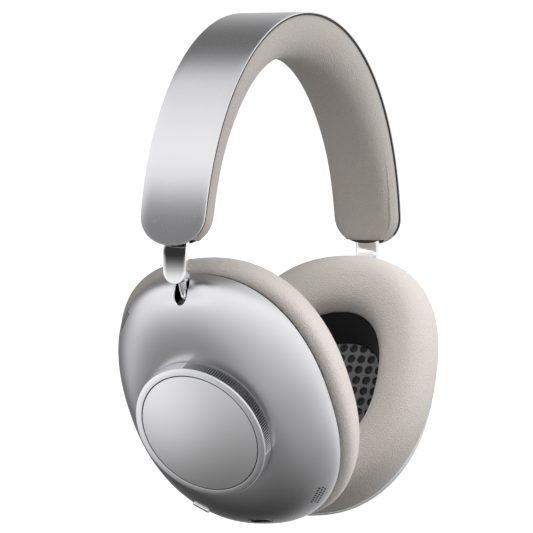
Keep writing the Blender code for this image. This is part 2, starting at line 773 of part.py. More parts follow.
def fitting_frame(angle, blend):
    """Centre, lengthwise direction and outward normal of a fitting on the dome."""
    step = 1e-3
    centre = dome_point(angle, blend)
    across = dome_point(angle, blend + step) - dome_point(angle, blend - step)
    around = dome_point(angle + step, blend) - dome_point(angle - step, blend)
    out = across.cross(around).normalized()
    if out.x > 0:
        out.negate()
    return centre, around.normalized(), out


def build_right_fittings():
    shell = bpy.data.objects["right_shell"]
    baffle = bpy.data.objects["right_baffle"]
    centre, along, out = fitting_frame(BUTTON_ANGLE, BUTTON_BLEND)
    cut(shell, capsule("button_hole", centre, along, out, BUTTON_HALF,
                       BUTTON_RADIUS + GAP, -0.004, 0.003, DARK))
    capsule("right_mode_button", centre, along, out, BUTTON_HALF, BUTTON_RADIUS,
            -0.0021, 0.0009, ALUMINIUM)
    centre, along, out = fitting_frame(SOCKET_ANGLE, SOCKET_BLEND)
    cut(shell, capsule("socket_hole", centre, along, out, 0.0031, 0.0016 + GAP,
                       -0.004, 0.003, DARK))
    cut(baffle, capsule("socket_clearance", centre, along, out, 0.0031, 0.0022,
                        -0.0060, 0.003, DARK))
    socket = capsule("right_usb_socket", centre, along, out, 0.0031, 0.0016,
                     -0.0046, -0.0001, STEEL)
    cut(socket, capsule("socket_mouth", centre, along, out, 0.0029, 0.0013,
                        -0.0038, 0.002, DARK))
    smooth(shell, 30)


def build_electronics():
    box("right_circuit_board", (-0.0048, DIAL_Y - 0.013, 0.0225),
        (-0.0038, DIAL_Y + 0.013, 0.0345), BOARD)
    battery = box("right_battery", (-0.0076, DIAL_Y - 0.013, 0.0225),
                  (-0.0036, DIAL_Y + 0.013, 0.0345), CELL)
    bevel(battery, 0.0008, segments=1)


# ---------------------------------------------------------------- assembly
def axis_empty(name, matrix):
    empty = bpy.data.objects.new(name, None)
    empty.empty_display_size = 0.01
    parts.objects.link(empty)
    empty.matrix_world = matrix
    return empty


def attach(obj, empty, frame):
    """Place a mesh made in `frame` coordinates and hang it from an axis empty."""
    bpy.context.view_layer.update()
    shift = empty.matrix_world.inverted() @ frame
    obj.data.transform(shift)
    obj.parent = empty
    obj.matrix_parent_inverse = Matrix.Identity(4)


def mirrored(matrix):
    flip = Matrix.Scale(-1, 4, (1, 0, 0))
    return flip @ matrix @ flip


def mirror_right_to_left(skip, plain_shell):
    """Make each right-hand piece's mirror image as the left-hand piece."""
    bpy.context.view_layer.update()
    for obj in [o for o in parts.objects if o.name.startswith("right_")]:
        if obj.name in skip or obj.type != "MESH":
            continue
        mesh = plain_shell if obj.name == "right_shell" else obj.data.copy()
        mesh.transform(Matrix.Scale(-1, 4, (1, 0, 0)))
        mesh.flip_normals()
        copy = add_object(obj.name.replace("right_", "left_", 1), mesh)
        if obj.parent:
            name = obj.parent.name.replace("right_", "left_", 1)
            empty = bpy.data.objects.get(name)
            if empty is None:
                empty = axis_empty(name, mirrored(obj.parent.matrix_world))
                bpy.context.view_layer.update()
            copy.parent = empty
            copy.matrix_parent_inverse = Matrix.Identity(4)


def assemble():
    cup = cup_matrix()
    here = Matrix.Identity(4)
    dial_place = cup @ Matrix.Translation((0.0, DIAL_Y, DIAL_Z))
    post = Matrix.Translation(PIVOT) @ Matrix.Rotation(-POST_LEAN, 4, "Y")
    tilt = Matrix.Translation(PIVOT) @ Matrix.Rotation(-CUP_TILT, 4, "Y")
    shank = Matrix.Rotation(math.atan(ARM_SLOPE), 4, "Y")
    slide = axis_empty("right_slide_axis", Matrix.Translation(
        (arm_x(ARM_BEND_END), 0.0, BAND_CENTRE_Z + ARM_BEND_END)) @ shank)
    swivel = axis_empty("right_swivel_axis", post)
    hinge = axis_empty("right_tilt_axis", tilt)
    dial_axis = axis_empty("right_dial_axis", dial_place)
    for name in ("right_arm", "right_arm_stop", "right_post"):
        attach(bpy.data.objects[name], slide, here)
    attach(bpy.data.objects["right_collar"], swivel, here)
    dial_side = ("right_dial_bearing", "right_dial", "right_disc", "right_dome_switch")
    for name in dial_side:
        attach(bpy.data.objects[name], dial_axis, dial_place)
    cup_side = ["right_shell", "right_baffle", "right_cushion_ring", "right_driver",
                "right_diaphragm", "right_grille", "right_cushion",
                "right_pivot_bracket", "right_circuit_board", "right_battery",
                "right_mode_button", "right_usb_socket"]
    cup_side += ["right_ring_screw_%d" % i for i in (1, 2, 3)]
    for name in cup_side:
        attach(bpy.data.objects[name], hinge, cup)


def build_band_screws():
    """Two screws each side that pull the frame's floor up to the plate."""
    frame = bpy.data.objects["headband_frame"]
    for i, y in enumerate((-BAND_SCREW_Y, BAND_SCREW_Y), start=1):
        for s in (BAND_SCREW_S, BAND_LENGTH - BAND_SCREW_S):
            lip = band_point(s, TRAY_BOTTOM + 0.001, y)
            cut(frame, rod("screw_hole", band_point(s, CHANNEL_FLOOR - 0.001, y), lip,
                           0.0011, DARK, 10))
            cut(frame, rod("screw_seat", band_point(s, BAND_SCREW_SEAT, y), lip,
                           0.0018, DARK, 12))
        tail = band_point(BAND_SCREW_S, PLATE_THICKNESS + GAP, y)
        under = band_point(BAND_SCREW_S, BAND_SCREW_SEAT + GAP, y)
        head = band_point(BAND_SCREW_S, TRAY_BOTTOM, y)
        screw = rod("right_band_screw_%d" % i, tail, under.lerp(head, 0.5),
                    0.0008, STEEL, 10)
        join(screw, rod("screw_head", under, head, 0.0015, STEEL, 12))


build_headband()
build_arm()
build_band_screws()
build_pivot()
shell = build_shell()
build_cup_inside()
build_cushion()
build_dial()
plain_shell = shell.copy()
plain_shell.data = shell.data.copy()
plain_shell.name = "right_plain_shell"
parts.objects.link(plain_shell)
build_right_fittings()
build_electronics()
assemble()
attach(plain_shell, bpy.data.objects["right_tilt_axis"], cup_matrix())
mirror_right_to_left(
    skip=("right_circuit_board", "right_mode_button", "right_usb_socket",
          "right_plain_shell"),
    plain_shell=plain_shell.data)
bpy.data.objects.remove(plain_shell, do_unlink=True)
bpy.data.objects.remove(bpy.data.objects["right_battery"], do_unlink=True)
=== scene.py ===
"""Looks of the over-ear headphones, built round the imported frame.

Units are metres in the frame's own axes: +Z up, X from ear to ear with the
right cup at -X, -Y the wearer's front.  Each right-hand piece is built once
and mirrored to the left.
"""
import json
import math
from contextlib import contextmanager

import bmesh
import bpy
import numpy as np
from mathutils import Matrix, Vector
from mathutils.bvhtree import BVHTree
from mathutils.geometry import delaunay_2d_cdt
from mathutils.interpolate import poly_3d_calc


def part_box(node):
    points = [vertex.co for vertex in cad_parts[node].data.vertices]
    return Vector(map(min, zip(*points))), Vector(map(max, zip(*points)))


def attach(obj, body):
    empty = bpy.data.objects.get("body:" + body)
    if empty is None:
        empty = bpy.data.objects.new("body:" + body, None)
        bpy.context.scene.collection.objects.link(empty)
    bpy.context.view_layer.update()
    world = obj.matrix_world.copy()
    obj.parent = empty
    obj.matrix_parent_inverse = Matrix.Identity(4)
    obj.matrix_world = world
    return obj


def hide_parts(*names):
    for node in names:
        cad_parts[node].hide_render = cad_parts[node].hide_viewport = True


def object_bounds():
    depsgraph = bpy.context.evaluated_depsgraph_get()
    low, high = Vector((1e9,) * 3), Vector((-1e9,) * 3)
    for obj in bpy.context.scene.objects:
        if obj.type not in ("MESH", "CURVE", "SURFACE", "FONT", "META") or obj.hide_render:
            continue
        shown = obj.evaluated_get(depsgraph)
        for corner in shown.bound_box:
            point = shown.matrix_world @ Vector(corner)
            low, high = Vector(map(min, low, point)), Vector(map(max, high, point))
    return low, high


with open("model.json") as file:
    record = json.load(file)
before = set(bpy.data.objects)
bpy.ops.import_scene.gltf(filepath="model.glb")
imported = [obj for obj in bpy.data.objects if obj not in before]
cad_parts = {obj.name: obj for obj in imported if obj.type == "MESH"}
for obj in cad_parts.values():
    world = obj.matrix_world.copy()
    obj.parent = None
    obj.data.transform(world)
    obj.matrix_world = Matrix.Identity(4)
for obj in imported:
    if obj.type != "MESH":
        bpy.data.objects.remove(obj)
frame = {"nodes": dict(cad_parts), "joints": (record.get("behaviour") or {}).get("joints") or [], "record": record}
CAD_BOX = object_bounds()
NODES = frame["nodes"]
JOINTS = {joint["name"]: joint for joint in frame["joints"]}

# ---- headband
# The band's outer face is a superellipse in X and Z; depths are below it.
BAND_HALF_WIDTH = 0.074
BAND_HALF_HEIGHT = 0.093
BAND_EXPONENT = 2.06
BAND_END_HEIGHT = 0.008
BAND_CENTRE_Z = -0.076
STRAP_WIDTH_END = 0.026
STRAP_WIDTH_CROWN = 0.028
STRAP_END_RADIUS = 0.011
STRAP_END_EXPONENT = 2.2
PLATE_EDGE = 0.0005
TRAY_TOP = 0.0006
TRAY_BOTTOM = 0.0072
TRAY_INSET = 0.0008
CHANNEL_WIDTH = 0.0202
CHANNEL_FLOOR = 0.0063
PAD_LIP = 0.0012
PAD_SKIN = 0.00052
PAD_CORNER = 0.0018
PAD_END_INSET = 0.0022
PAD_HELD_DEPTH = 0.0092
PAD_EASE = 0.0030
CROWN_THICKNESS = 0.017
BAND_END_THICKNESS = 0.0098
CROWN_SWELL_EXPONENT = 1.2

# ---- arms
ARM_FACE_X = 0.0712
ARM_RADIUS = 0.102
ARM_CENTRE_RISE = 0.004
ARM_WIDTH = 0.0094
ARM_THICKNESS = 0.002
ARM_LOWER_END = -0.0055
ARM_BEND_START = 0.0045
ARM_BEND_END = 0.0080
ARM_UPPER_END = 0.0395
ARM_SLOPE = 0.193

# ---- cups
DIAL_Y = 0.0034
DIAL_Z = -0.0034
RIM_HALF_DEPTH = 0.0418
RIM_HALF_HEIGHT = 0.0506
RIM_EXPONENT = 2.3
RIM_LEAN = math.radians(-5.0)
RIM_WALL = 0.0007
SHELL_THICKNESS = 0.0014
SEAT_DEPTH = 0.0128
SEAT_RADIUS = 0.0263
SEAT_RINGS = (0.0258, 0.0250, 0.0045)
DOME_EXPONENT = 1.7
SHOULDER_EXPONENT = 1.3
CUSHION_BASE = 0.0014
CUSHION_FACE = 0.0178
CUSHION_GROWTH = (0.0036, 0.0025)
CUSHION_BENDS = (0.42, 0.86)
CUSHION_TAPER = 22.0
CUSHION_TAPER_START = 0.006
CUSHION_HELD_DEPTH = 0.0045
EAR_HALF_DEPTH = 0.0212
EAR_HALF_HEIGHT = 0.0286
EAR_Y = -0.0030
EAR_Z = -0.0012
LINING_DROP = 0.0040
SWELL_CAP = 0.0004
SWELL_PRESSURE = 4.0
SWELL_FRAMES = 20

# ---- dial and disc
DIAL_RADIUS = 0.0259
DISC_RADIUS = 0.0231
DIAL_FACE = 0.0183
DIAL_BASE = 0.0131
KNURL_ARCS = ((88, 197), (268, 377))
KNURL_TEETH = 176
KNURL_STEPS = 4
KNURL_DEPTH = 0.0005
GAP = 0.0003


def axes(x, y, z, origin=(0.0, 0.0, 0.0)):
    """The matrix that takes local coordinates to these axes at an origin."""
    return Matrix.Translation(origin) @ Matrix((x, y, z)).transposed().to_4x4()


# Cup coordinates: X inwards from the rim's plane, Y backwards, Z up the cup.
INWARD = Vector(JOINTS["right_disc_press"]["axis"]).normalized()
ASIDE = Vector((0.0, 1.0, 0.0))
UPWARD = INWARD.cross(ASIDE)
DIAL_CENTRE = Vector(JOINTS["right_dial_turn"]["pos_m"])
CUP = axes(INWARD, ASIDE, UPWARD, DIAL_CENTRE - ASIDE * DIAL_Y - UPWARD * DIAL_Z)
FLAT = Matrix(((0, 0, 1, 0), (1, 0, 0, 0), (0, 1, 0, 0), (0, 0, 0, 1)))  # from (y, z, x)
PIVOT = Vector(JOINTS["right_cup_tilt"]["pos_m"])
POST_AXIS = Vector(JOINTS["right_cup_swivel"]["axis"]).normalized()
MIRROR = Matrix.Scale(-1, 4, (1, 0, 0))


# ---- materials
class Tree:
    """A short way to build a node tree."""

    def __init__(self, tree):
        self.tree = tree

    def join(self, source, target):
        self.tree.links.new(source, target)

    def add(self, kind, inputs=None, **values):
        """A node whose inputs are numbers, colours or other nodes' outputs."""
        node = self.tree.nodes.new(kind)
        for key, value in values.items():
            setattr(node, key, value)
        for key, value in (inputs or {}).items():
            if isinstance(value, bpy.types.NodeSocket):
                self.join(value, node.inputs[key])
            else:
                node.inputs[key].default_value = value
        return node

    def remap(self, value, low, high, from_low=0.0, from_high=1.0, **values):
        return self.add("ShaderNodeMapRange", {
            "Value": value, "From Min": from_low, "From Max": from_high,
            "To Min": low, "To Max": high}, **values).outputs["Result"]


class Nodes(Tree):
    """The node tree of a material, round its Principled shader."""

    def __init__(self, name):
        self.material = bpy.data.materials.new(name)
        self.material.use_nodes = True
        super().__init__(self.material.node_tree)
        self.shader = self.tree.nodes["Principled BSDF"]
        self.place = self.add("ShaderNodeTexCoord").outputs["Object"]

    def constants(self, **values):
        for key, value in values.items():
            self.shader.inputs[key.replace("_", " ")].default_value = value

    def noise(self, scale, detail=3.0, roughness=0.55, stretch=None):
        return self.add("ShaderNodeTexNoise", {
            "Scale": scale, "Detail": detail, "Roughness": roughness,
            "Vector": self.stretched(stretch)}).outputs["Fac"]

    def cells(self, scale, feature="DISTANCE_TO_EDGE", stretch=None):
        return self.add("ShaderNodeTexVoronoi", {
            "Scale": scale, "Vector": self.stretched(stretch)},
            feature=feature).outputs["Distance"]

    def stretched(self, stretch):
        if stretch is None:
            return self.place
        turn, scale = stretch
        return self.add("ShaderNodeMapping", {
            "Vector": self.place, "Rotation": turn, "Scale": scale}).outputs["Vector"]

    def mix(self, factor, first, second, **values):
        return self.add("ShaderNodeMix", {0: factor, 6: first, 7: second},
                        data_type="RGBA", **values).outputs[2]

    def blend(self, factor, dark, light):
        return self.mix(factor, (*dark, 1.0), (*light, 1.0))

    def bump(self, height, distance, strength=1.0, below=None):
        inputs = {"Distance": distance, "Strength": strength, "Height": height}
        if below is not None:
            inputs["Normal"] = below
        return self.add("ShaderNodeBump", inputs).outputs["Normal"]

    def finish(self, colour=None, roughness=None, normal=None):
        for value, key in ((colour, "Base Color"), (roughness, "Roughness"),
                           (normal, "Normal")):
            if value is not None:
                self.join(value, self.shader.inputs[key])
        return self.material


def satin_metal(name, smooth, dull, grit):
    """Bead-blasted aluminium between two roughnesses."""
    n = Nodes(name)
    n.constants(Metallic=1.0)
    blotch = n.noise(60.0, 2.0)
    grain = n.noise(5200.0, 2.0, 0.7)
    return n.finish(n.blend(blotch, (0.655, 0.655, 0.675), (0.70, 0.70, 0.715)),
                    n.remap(n.noise(900.0), smooth, dull),
                    n.bump(grain, 0.00002, grit))


def brushed_metal():
    """Fine straight brushing across the disc."""
    n = Nodes("brushed_aluminium_look")
    n.constants(Metallic=1.0)
    streaks = n.noise(1.0, 4.0, 0.7, ((0, 0, 0), (700.0, 9000.0, 700.0)))
    grain = n.noise(4800.0, 2.0, 0.7)
    return n.finish(n.blend(streaks, (0.62, 0.62, 0.635), (0.70, 0.70, 0.71)),
                    n.remap(streaks, 0.42, 0.52),
                    n.bump(grain, 0.00002, 0.3, n.bump(streaks, 0.00002, 0.4)))


def one_texture(name, texture, colours, rough, relief=None, **values):
    """A material whose colour, roughness and relief all follow one texture."""
    n = Nodes(name)
    n.constants(**values)
    tone = texture(n)
    return n.finish(n.blend(tone, *colours), n.remap(tone, *rough),
                    n.bump(tone, *relief) if relief else None)


def leather():
    """Soft beige leather: pebble grain with creases between the pebbles."""
    n = Nodes("beige_leather_look")
    n.constants(Sheen_Weight=0.25, Sheen_Roughness=0.4, Specular_IOR_Level=0.35)
    tone = n.noise(45.0, 3.0)
    pebbles = n.remap(n.cells(1150.0), 0.0, 1.0, 0.0, 0.22)
    pores = n.noise(3800.0, 2.0, 0.6)
    soft = n.noise(380.0, 3.0)
    colour = n.mix(1.0, n.blend(tone, (0.585, 0.542, 0.508), (0.612, 0.568, 0.534)),
                   n.blend(pebbles, (0.91, 0.90, 0.89), (1.0, 1.0, 1.0)),
                   blend_type="MULTIPLY")
    relief = n.bump(pores, 0.00003, 0.35, n.bump(pebbles, 0.00012, 0.7))
    return n.finish(colour, n.remap(soft, 0.50, 0.66),
                    n.bump(soft, 0.00012, 0.25, relief))


def plastic(name, dark, light, rough=(0.42, 0.58), grain=2600.0):
    n = Nodes(name)
    speckle = n.noise(grain, 2.0, 0.6)
    return n.finish(n.blend(n.noise(70.0), dark, light), n.remap(speckle, *rough),
                    n.bump(speckle, 0.00003, 0.4))


SATIN = satin_metal("satin_aluminium_look", 0.31, 0.38, 0.08)
PLATE = satin_metal("satin_strap_look", 0.26, 0.28, 0.03)
BRUSHED = brushed_metal()
LEATHER = leather()
BLACK = plastic("black_plastic_look", (0.012, 0.012, 0.013), (0.020, 0.020, 0.021))
GRILLE = plastic("grille_paint_look", (0.19, 0.19, 0.20), (0.23, 0.23, 0.24), (0.5, 0.62))
MESH_BACK = plastic("mesh_back_look", (0.018, 0.018, 0.019), (0.028, 0.028, 0.030),
                    (0.7, 0.85), 1500.0)
CABLE = plastic("cable_jacket_look", (0.010, 0.010, 0.010), (0.018, 0.018, 0.018))
POLISHED = one_texture(
    "polished_steel_look", lambda n: n.noise(260.0, 4.0, 0.6, ((0, 0, 0), (1.0, 1.0, 0.15))),
    ((0.80, 0.80, 0.81), (0.86, 0.86, 0.87)), (0.05, 0.12), (0.00001, 0.15), Metallic=1.0)
SPRING = one_texture(
    "spring_steel_look", lambda n: n.noise(1.0, 3.0, 0.6, ((0, 0, 0), (400.0, 6000.0, 400.0))),
    ((0.36, 0.36, 0.38), (0.46, 0.46, 0.48)), (0.25, 0.42), Metallic=1.0)
LINING = one_texture(
    "black_lining_look", lambda n: n.cells(1300.0, "F1", ((0.4, 0.2, 0.7), (1.0, 1.6, 1.0))),
    ((0.004, 0.004, 0.004), (0.012, 0.012, 0.013)), (0.75, 0.95), (0.0001, 0.6),
    Sheen_Weight=0.15, Specular_IOR_Level=0.2)
BOARD = one_texture(
    "circuit_board_look", lambda n: n.cells(420.0, "F1"),
    ((0.015, 0.12, 0.05), (0.03, 0.20, 0.09)), (0.3, 0.5), (0.00003, 0.3))
FOIL = one_texture(
    "foil_look", lambda n: n.cells(160.0), ((0.30, 0.32, 0.36), (0.40, 0.42, 0.46)),
    (0.3, 0.45), (0.0001, 0.3), Metallic=0.4)
FILM = one_texture(
    "driver_film_look", lambda n: n.noise(900.0), ((0.50, 0.44, 0.34), (0.60, 0.54, 0.44)),
    (0.22, 0.35), Coat_Weight=0.3)


# ---- mesh helpers
def put(name, data):
    obj = bpy.data.objects.new(name, data)
    bpy.context.scene.collection.objects.link(obj)
    return obj


def link(name, mesh, mat):
    mesh.materials.clear()
    mesh.materials.append(mat)
    return put(name, mesh)


def new_mesh(name, points, faces):
    mesh = bpy.data.meshes.new(name)
    mesh.from_pydata(points, [], faces)
    return mesh


def mesh_points(mesh):
    flat = np.empty(len(mesh.vertices) * 3)
    mesh.vertices.foreach_get("co", flat)
    return flat.reshape(-1, 3)


@contextmanager
def editing(mesh):
    """Edit a mesh as a bmesh, and write it back."""
    bm = bmesh.new()
    bm.from_mesh(mesh)
    yield bm
    bm.to_mesh(mesh)
    bm.free()


def shade(obj, angle=35.0):
    obj.data.shade_smooth()
    obj.data.set_sharp_from_angle(angle=math.radians(angle))
    return obj


def solid(name, points, faces, mat, matrix=None, angle=35.0):
    """A closed, welded mesh, its faces turned outwards before the matrix places it."""
    mesh = new_mesh(name, [tuple(p) for p in points], faces)
    with editing(mesh) as bm:
        bmesh.ops.remove_doubles(bm, verts=bm.verts, dist=2e-6)
        bmesh.ops.recalc_face_normals(bm, faces=bm.faces)
    if matrix is not None:
        mesh.transform(matrix)
    return shade(link(name, mesh, mat), angle)


def grid_faces(rows, columns, wrap_rows=False, wrap_columns=False):
    faces = []
    for i in range(rows if wrap_rows else rows - 1):
        for j in range(columns if wrap_columns else columns - 1):
            a, b = i * columns + j, i * columns + (j + 1) % columns
            up = ((i + 1) % rows) * columns
            faces.append((a, b, up + (j + 1) % columns, up + j))
    return faces


def ring_solid(name, points, mat, angle=35.0):
    """A solid ring in cup coordinates from a grid of points that closes both ways."""
    return solid(name, points.reshape(-1, 3), grid_faces(*points.shape[:2], True, True), mat,
                 CUP, angle)


def apply_modifiers(obj):
    bpy.context.view_layer.update()
    graph = bpy.context.evaluated_depsgraph_get()
    mesh = bpy.data.meshes.new_from_object(obj.evaluated_get(graph))
    obj.modifiers.clear()
    obj.data = mesh
    return obj


def cut(obj, other):
    """Take another solid out of a piece, then remove it."""
    mod = obj.modifiers.new("cut", "BOOLEAN")
    mod.operation = "DIFFERENCE"
    mod.solver = "EXACT"
    mod.object = other
    apply_modifiers(obj)
    bpy.data.objects.remove(other, do_unlink=True)


def turned(name, profile, mat, matrix, sides=96, closed=True, angle=35.0):
    """Turn (radius, height) points about the matrix's +Z."""
    turns = np.linspace(0, 2 * np.pi, sides, endpoint=False)
    points = [(r * math.cos(t), r * math.sin(t), h) for t in turns for r, h in profile]
    faces = grid_faces(sides, len(profile), True, closed)
    return solid(name, points, faces, mat, matrix, angle)


def barrel_faces(count):
    """Sides and ends between two rings of count points."""
    ends = [tuple(range(count)), tuple(range(count, 2 * count))]
    return grid_faces(2, count, wrap_columns=True) + ends


def prism(name, outline, low, high, mat, matrix=None):
    """A straight solid over a closed (u, v) outline, from low to high."""
    points = [(u, v, h) for h in (low, high) for u, v in outline]
    return solid(name, points, barrel_faces(len(outline)), mat, matrix)


def stadium(half, radius, sides=16):
    outline = []
    for sign in (1, -1):
        for k in range(sides + 1):
            a = math.pi * k / sides - math.pi / 2
            outline.append((sign * (half + radius * math.cos(a)), sign * radius * math.sin(a)))
    return outline


def dress(piece, body, slot, *nodes):
    """Ride a piece on its body and stand it for CAD nodes; the slot is not used."""
    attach(piece, body)
    if nodes:
        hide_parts(*nodes)
    return piece


def both(piece, body, slot, *nodes):
    """Dress a right-hand piece and its mirror image on the left."""
    mesh = piece.data.copy()
    mesh.transform(MIRROR)
    mesh.flip_normals()
    other = put(piece.name.replace("right_", "left_", 1), mesh)
    dress(piece, "right_" + body, slot, *["right_" + n for n in nodes])
    dress(other, "left_" + body, slot, *["left_" + n for n in nodes])
    return piece, other


def rounded(obj, width, **values):
    """Round a piece's edges over a width, in four steps."""
    mod = obj.modifiers.new("round", "BEVEL")
    mod.width = width
    mod.segments = 4
    for key, value in values.items():
        setattr(mod, key, value)
    return shade(apply_modifiers(obj))


def strip_solid(name, rim, stations, place, mat, across, angle):
    """A strip with rounded ends whose edge follows (inset, depth) pairs.

    stations(inset) gives lengths along the strip and its half widths there, and
    place(length, depth, y) gives the points.
    """
    points = []
    for inset, depth in rim:
        along, half = stations(inset)
        points += list(np.concatenate((place(along, depth, half),
                                       place(along[::-1], depth, -half[::-1]))))
    faces = grid_faces(len(rim), 2 * len(along), wrap_columns=True)
    for inset, depth in (rim[0], rim[-1]):
        along, half = stations(inset)
        rows = place(along[:, None], depth, half[:, None] * np.linspace(-1, 1, across)[None, :])
        start = len(points)
        points += list(rows.reshape(-1, 3))
        faces += [tuple(start + k for k in face) for face in grid_faces(len(along), across)]
    return solid(name, points, faces, mat, angle=angle)


# ---- headband
def band_samples(count=2400):
    """Arc length, X, Z and the outward normal along the band, from right to left."""
    low = math.asin((BAND_END_HEIGHT / BAND_HALF_HEIGHT) ** (BAND_EXPONENT / 2))
    angle = np.linspace(low, math.pi - low, count)
    c, s = np.cos(angle), np.sin(angle)
    x = -BAND_HALF_WIDTH * np.sign(c) * np.abs(c) ** (2 / BAND_EXPONENT)
    z = BAND_HALF_HEIGHT * s ** (2 / BAND_EXPONENT)
    steep = BAND_EXPONENT - 1
    nx = np.sign(x) * (np.abs(x) / BAND_HALF_WIDTH) ** steep / BAND_HALF_WIDTH
    nz = (z / BAND_HALF_HEIGHT) ** steep / BAND_HALF_HEIGHT
    size = np.hypot(nx, nz)
    length = np.concatenate(([0.0], np.cumsum(np.hypot(np.diff(x), np.diff(z)))))
    return length, x, z, nx / size, nz / size


BAND = band_samples()
BAND_LENGTH = BAND[0][-1]


def on_band(s, depth, y):
    """Points at arc length s, depth below the plate's outer face and offset y."""
    x, z, nx, nz = (np.interp(s, BAND[0], values) for values in BAND[1:])
    parts = np.broadcast_arrays(x - nx * depth, y, z - nz * depth + BAND_CENTRE_Z)
    return np.stack(parts, -1)


def strap_half(s, inset=0.0):
    """Half the strap's width at s, with its rounded ends, less an inset all round."""
    full = STRAP_WIDTH_END + (STRAP_WIDTH_CROWN - STRAP_WIDTH_END) * np.sin(
        np.pi * s / BAND_LENGTH)
    edge = np.clip((np.minimum(s, BAND_LENGTH - s) - inset) / STRAP_END_RADIUS, 0.0, 1.0)
    k = STRAP_END_EXPONENT
    return (full / 2 - inset) * (1 - (1 - edge) ** k) ** (1 / k)


def strap_stations(inset):
    """Arc lengths along the strap, close in its round ends, and its half widths there."""
    turn = np.linspace(0, np.pi / 2, 18)
    start = inset + STRAP_END_RADIUS * (1 - np.cos(turn))
    centre = np.linspace(start[-1], BAND_LENGTH - start[-1], 150)[1:-1]
    s = np.concatenate((start, centre, (BAND_LENGTH - start)[::-1]))
    return s, strap_half(s, inset)


def strap_solid(name, rim, mat, across=9):
    return strip_solid(name, rim, strap_stations, on_band, mat, across, 28.0)


def build_plate():
    rim = [(0.00018, 0.0), (0.00012, 0.00001), (0.0, 0.00014), (0.0, 0.00044),
           (0.0001, PLATE_EDGE)]
    plate = strap_solid("band_plate", rim, PLATE)
    dress(plate, "headband", "satin_aluminium", "headband_plate")


def inflate(piece, held, share=1.0):
    """Swell a leather cover over its filling, as cloth under pressure.

    No point moves further than SWELL_CAP, times its share, and the held ones stay.
    """
    scene = bpy.context.scene
    rest = mesh_points(piece.data)
    group = piece.vertex_groups.new(name="held")
    group.add([int(i) for i in np.nonzero(held)[0]], 1.0, "REPLACE")
    mod = piece.modifiers.new("cover", "CLOTH")
    mod.settings.quality = 5
    mod.settings.use_pressure = True
    mod.settings.uniform_pressure_force = SWELL_PRESSURE
    mod.settings.effector_weights.gravity = 0.0
    mod.settings.vertex_group_mass = group.name
    mod.collision_settings.use_collision = False
    mod.point_cache.frame_start = 1
    mod.point_cache.frame_end = SWELL_FRAMES
    for frame_number in range(1, SWELL_FRAMES + 1):
        scene.frame_set(frame_number)
    swollen = piece.evaluated_get(bpy.context.evaluated_depsgraph_get())
    move = mesh_points(swollen.to_mesh()) - rest
    size = np.maximum(np.linalg.norm(move, axis=1, keepdims=True), 1e-9)
    moved = rest + move / size * SWELL_CAP * np.tanh(size / SWELL_CAP) * share
    swollen.to_mesh_clear()
    piece.modifiers.remove(mod)
    piece.vertex_groups.remove(group)
    scene.frame_set(1)
    piece.data.vertices.foreach_set("co", moved.ravel())
    piece.data.update()


def build_tray():
    """The black tray under the plate, with the arms' channel open at both ends."""
    i, half = TRAY_INSET, CHANNEL_WIDTH / 2
    rim = [(0.0003, TRAY_TOP), (0.00005, TRAY_TOP + 0.0001), (0.00005, PAD_LIP - 0.0001),
           (i, PAD_LIP), (i, TRAY_BOTTOM - 0.0006), (i + 0.0006, TRAY_BOTTOM)]
    tray = strap_solid("band_tray", rim, BLACK, across=5)
    along = np.linspace(0.0, BAND_LENGTH, 90)
    corners = ((-half, -0.001), (half, -0.001), (half, CHANNEL_FLOOR), (-half, CHANNEL_FLOOR))
    rows = np.stack([on_band(along, depth, y) for y, depth in corners], 1)
    last = 4 * len(along)
    faces = grid_faces(len(along), 4, wrap_columns=True)
    faces += [(0, 1, 2, 3), tuple(range(last - 4, last))]
    cut(tray, solid("channel", rows.reshape(-1, 3), faces, BLACK))
    for side in (-1, 1):
        tip = on_band(np.array([0.0 if side < 0 else BAND_LENGTH]), 0.0, 0.0)[0]
        far, near = tip[0] + side * 0.002, tip[0] - side * CHANNEL_FLOOR
        outline = [(far, -half), (near, -half), (near, half), (far, half)]
        cut(tray, prism("mouth", outline, tip[2] - 0.006, tip[2] + 0.0006, BLACK))
    dress(shade(tray, 30.0), "headband", "dark_plastic", "headband_frame")


def below_band(piece):
    """How far each point of a piece lies below the strap's outer face."""
    line = np.stack([BAND[1][::8], BAND[2][::8] + BAND_CENTRE_Z], -1)
    return np.array([np.min(np.hypot(line[:, 0] - x, line[:, 1] - z))
                     for x, _, z in mesh_points(piece.data)])


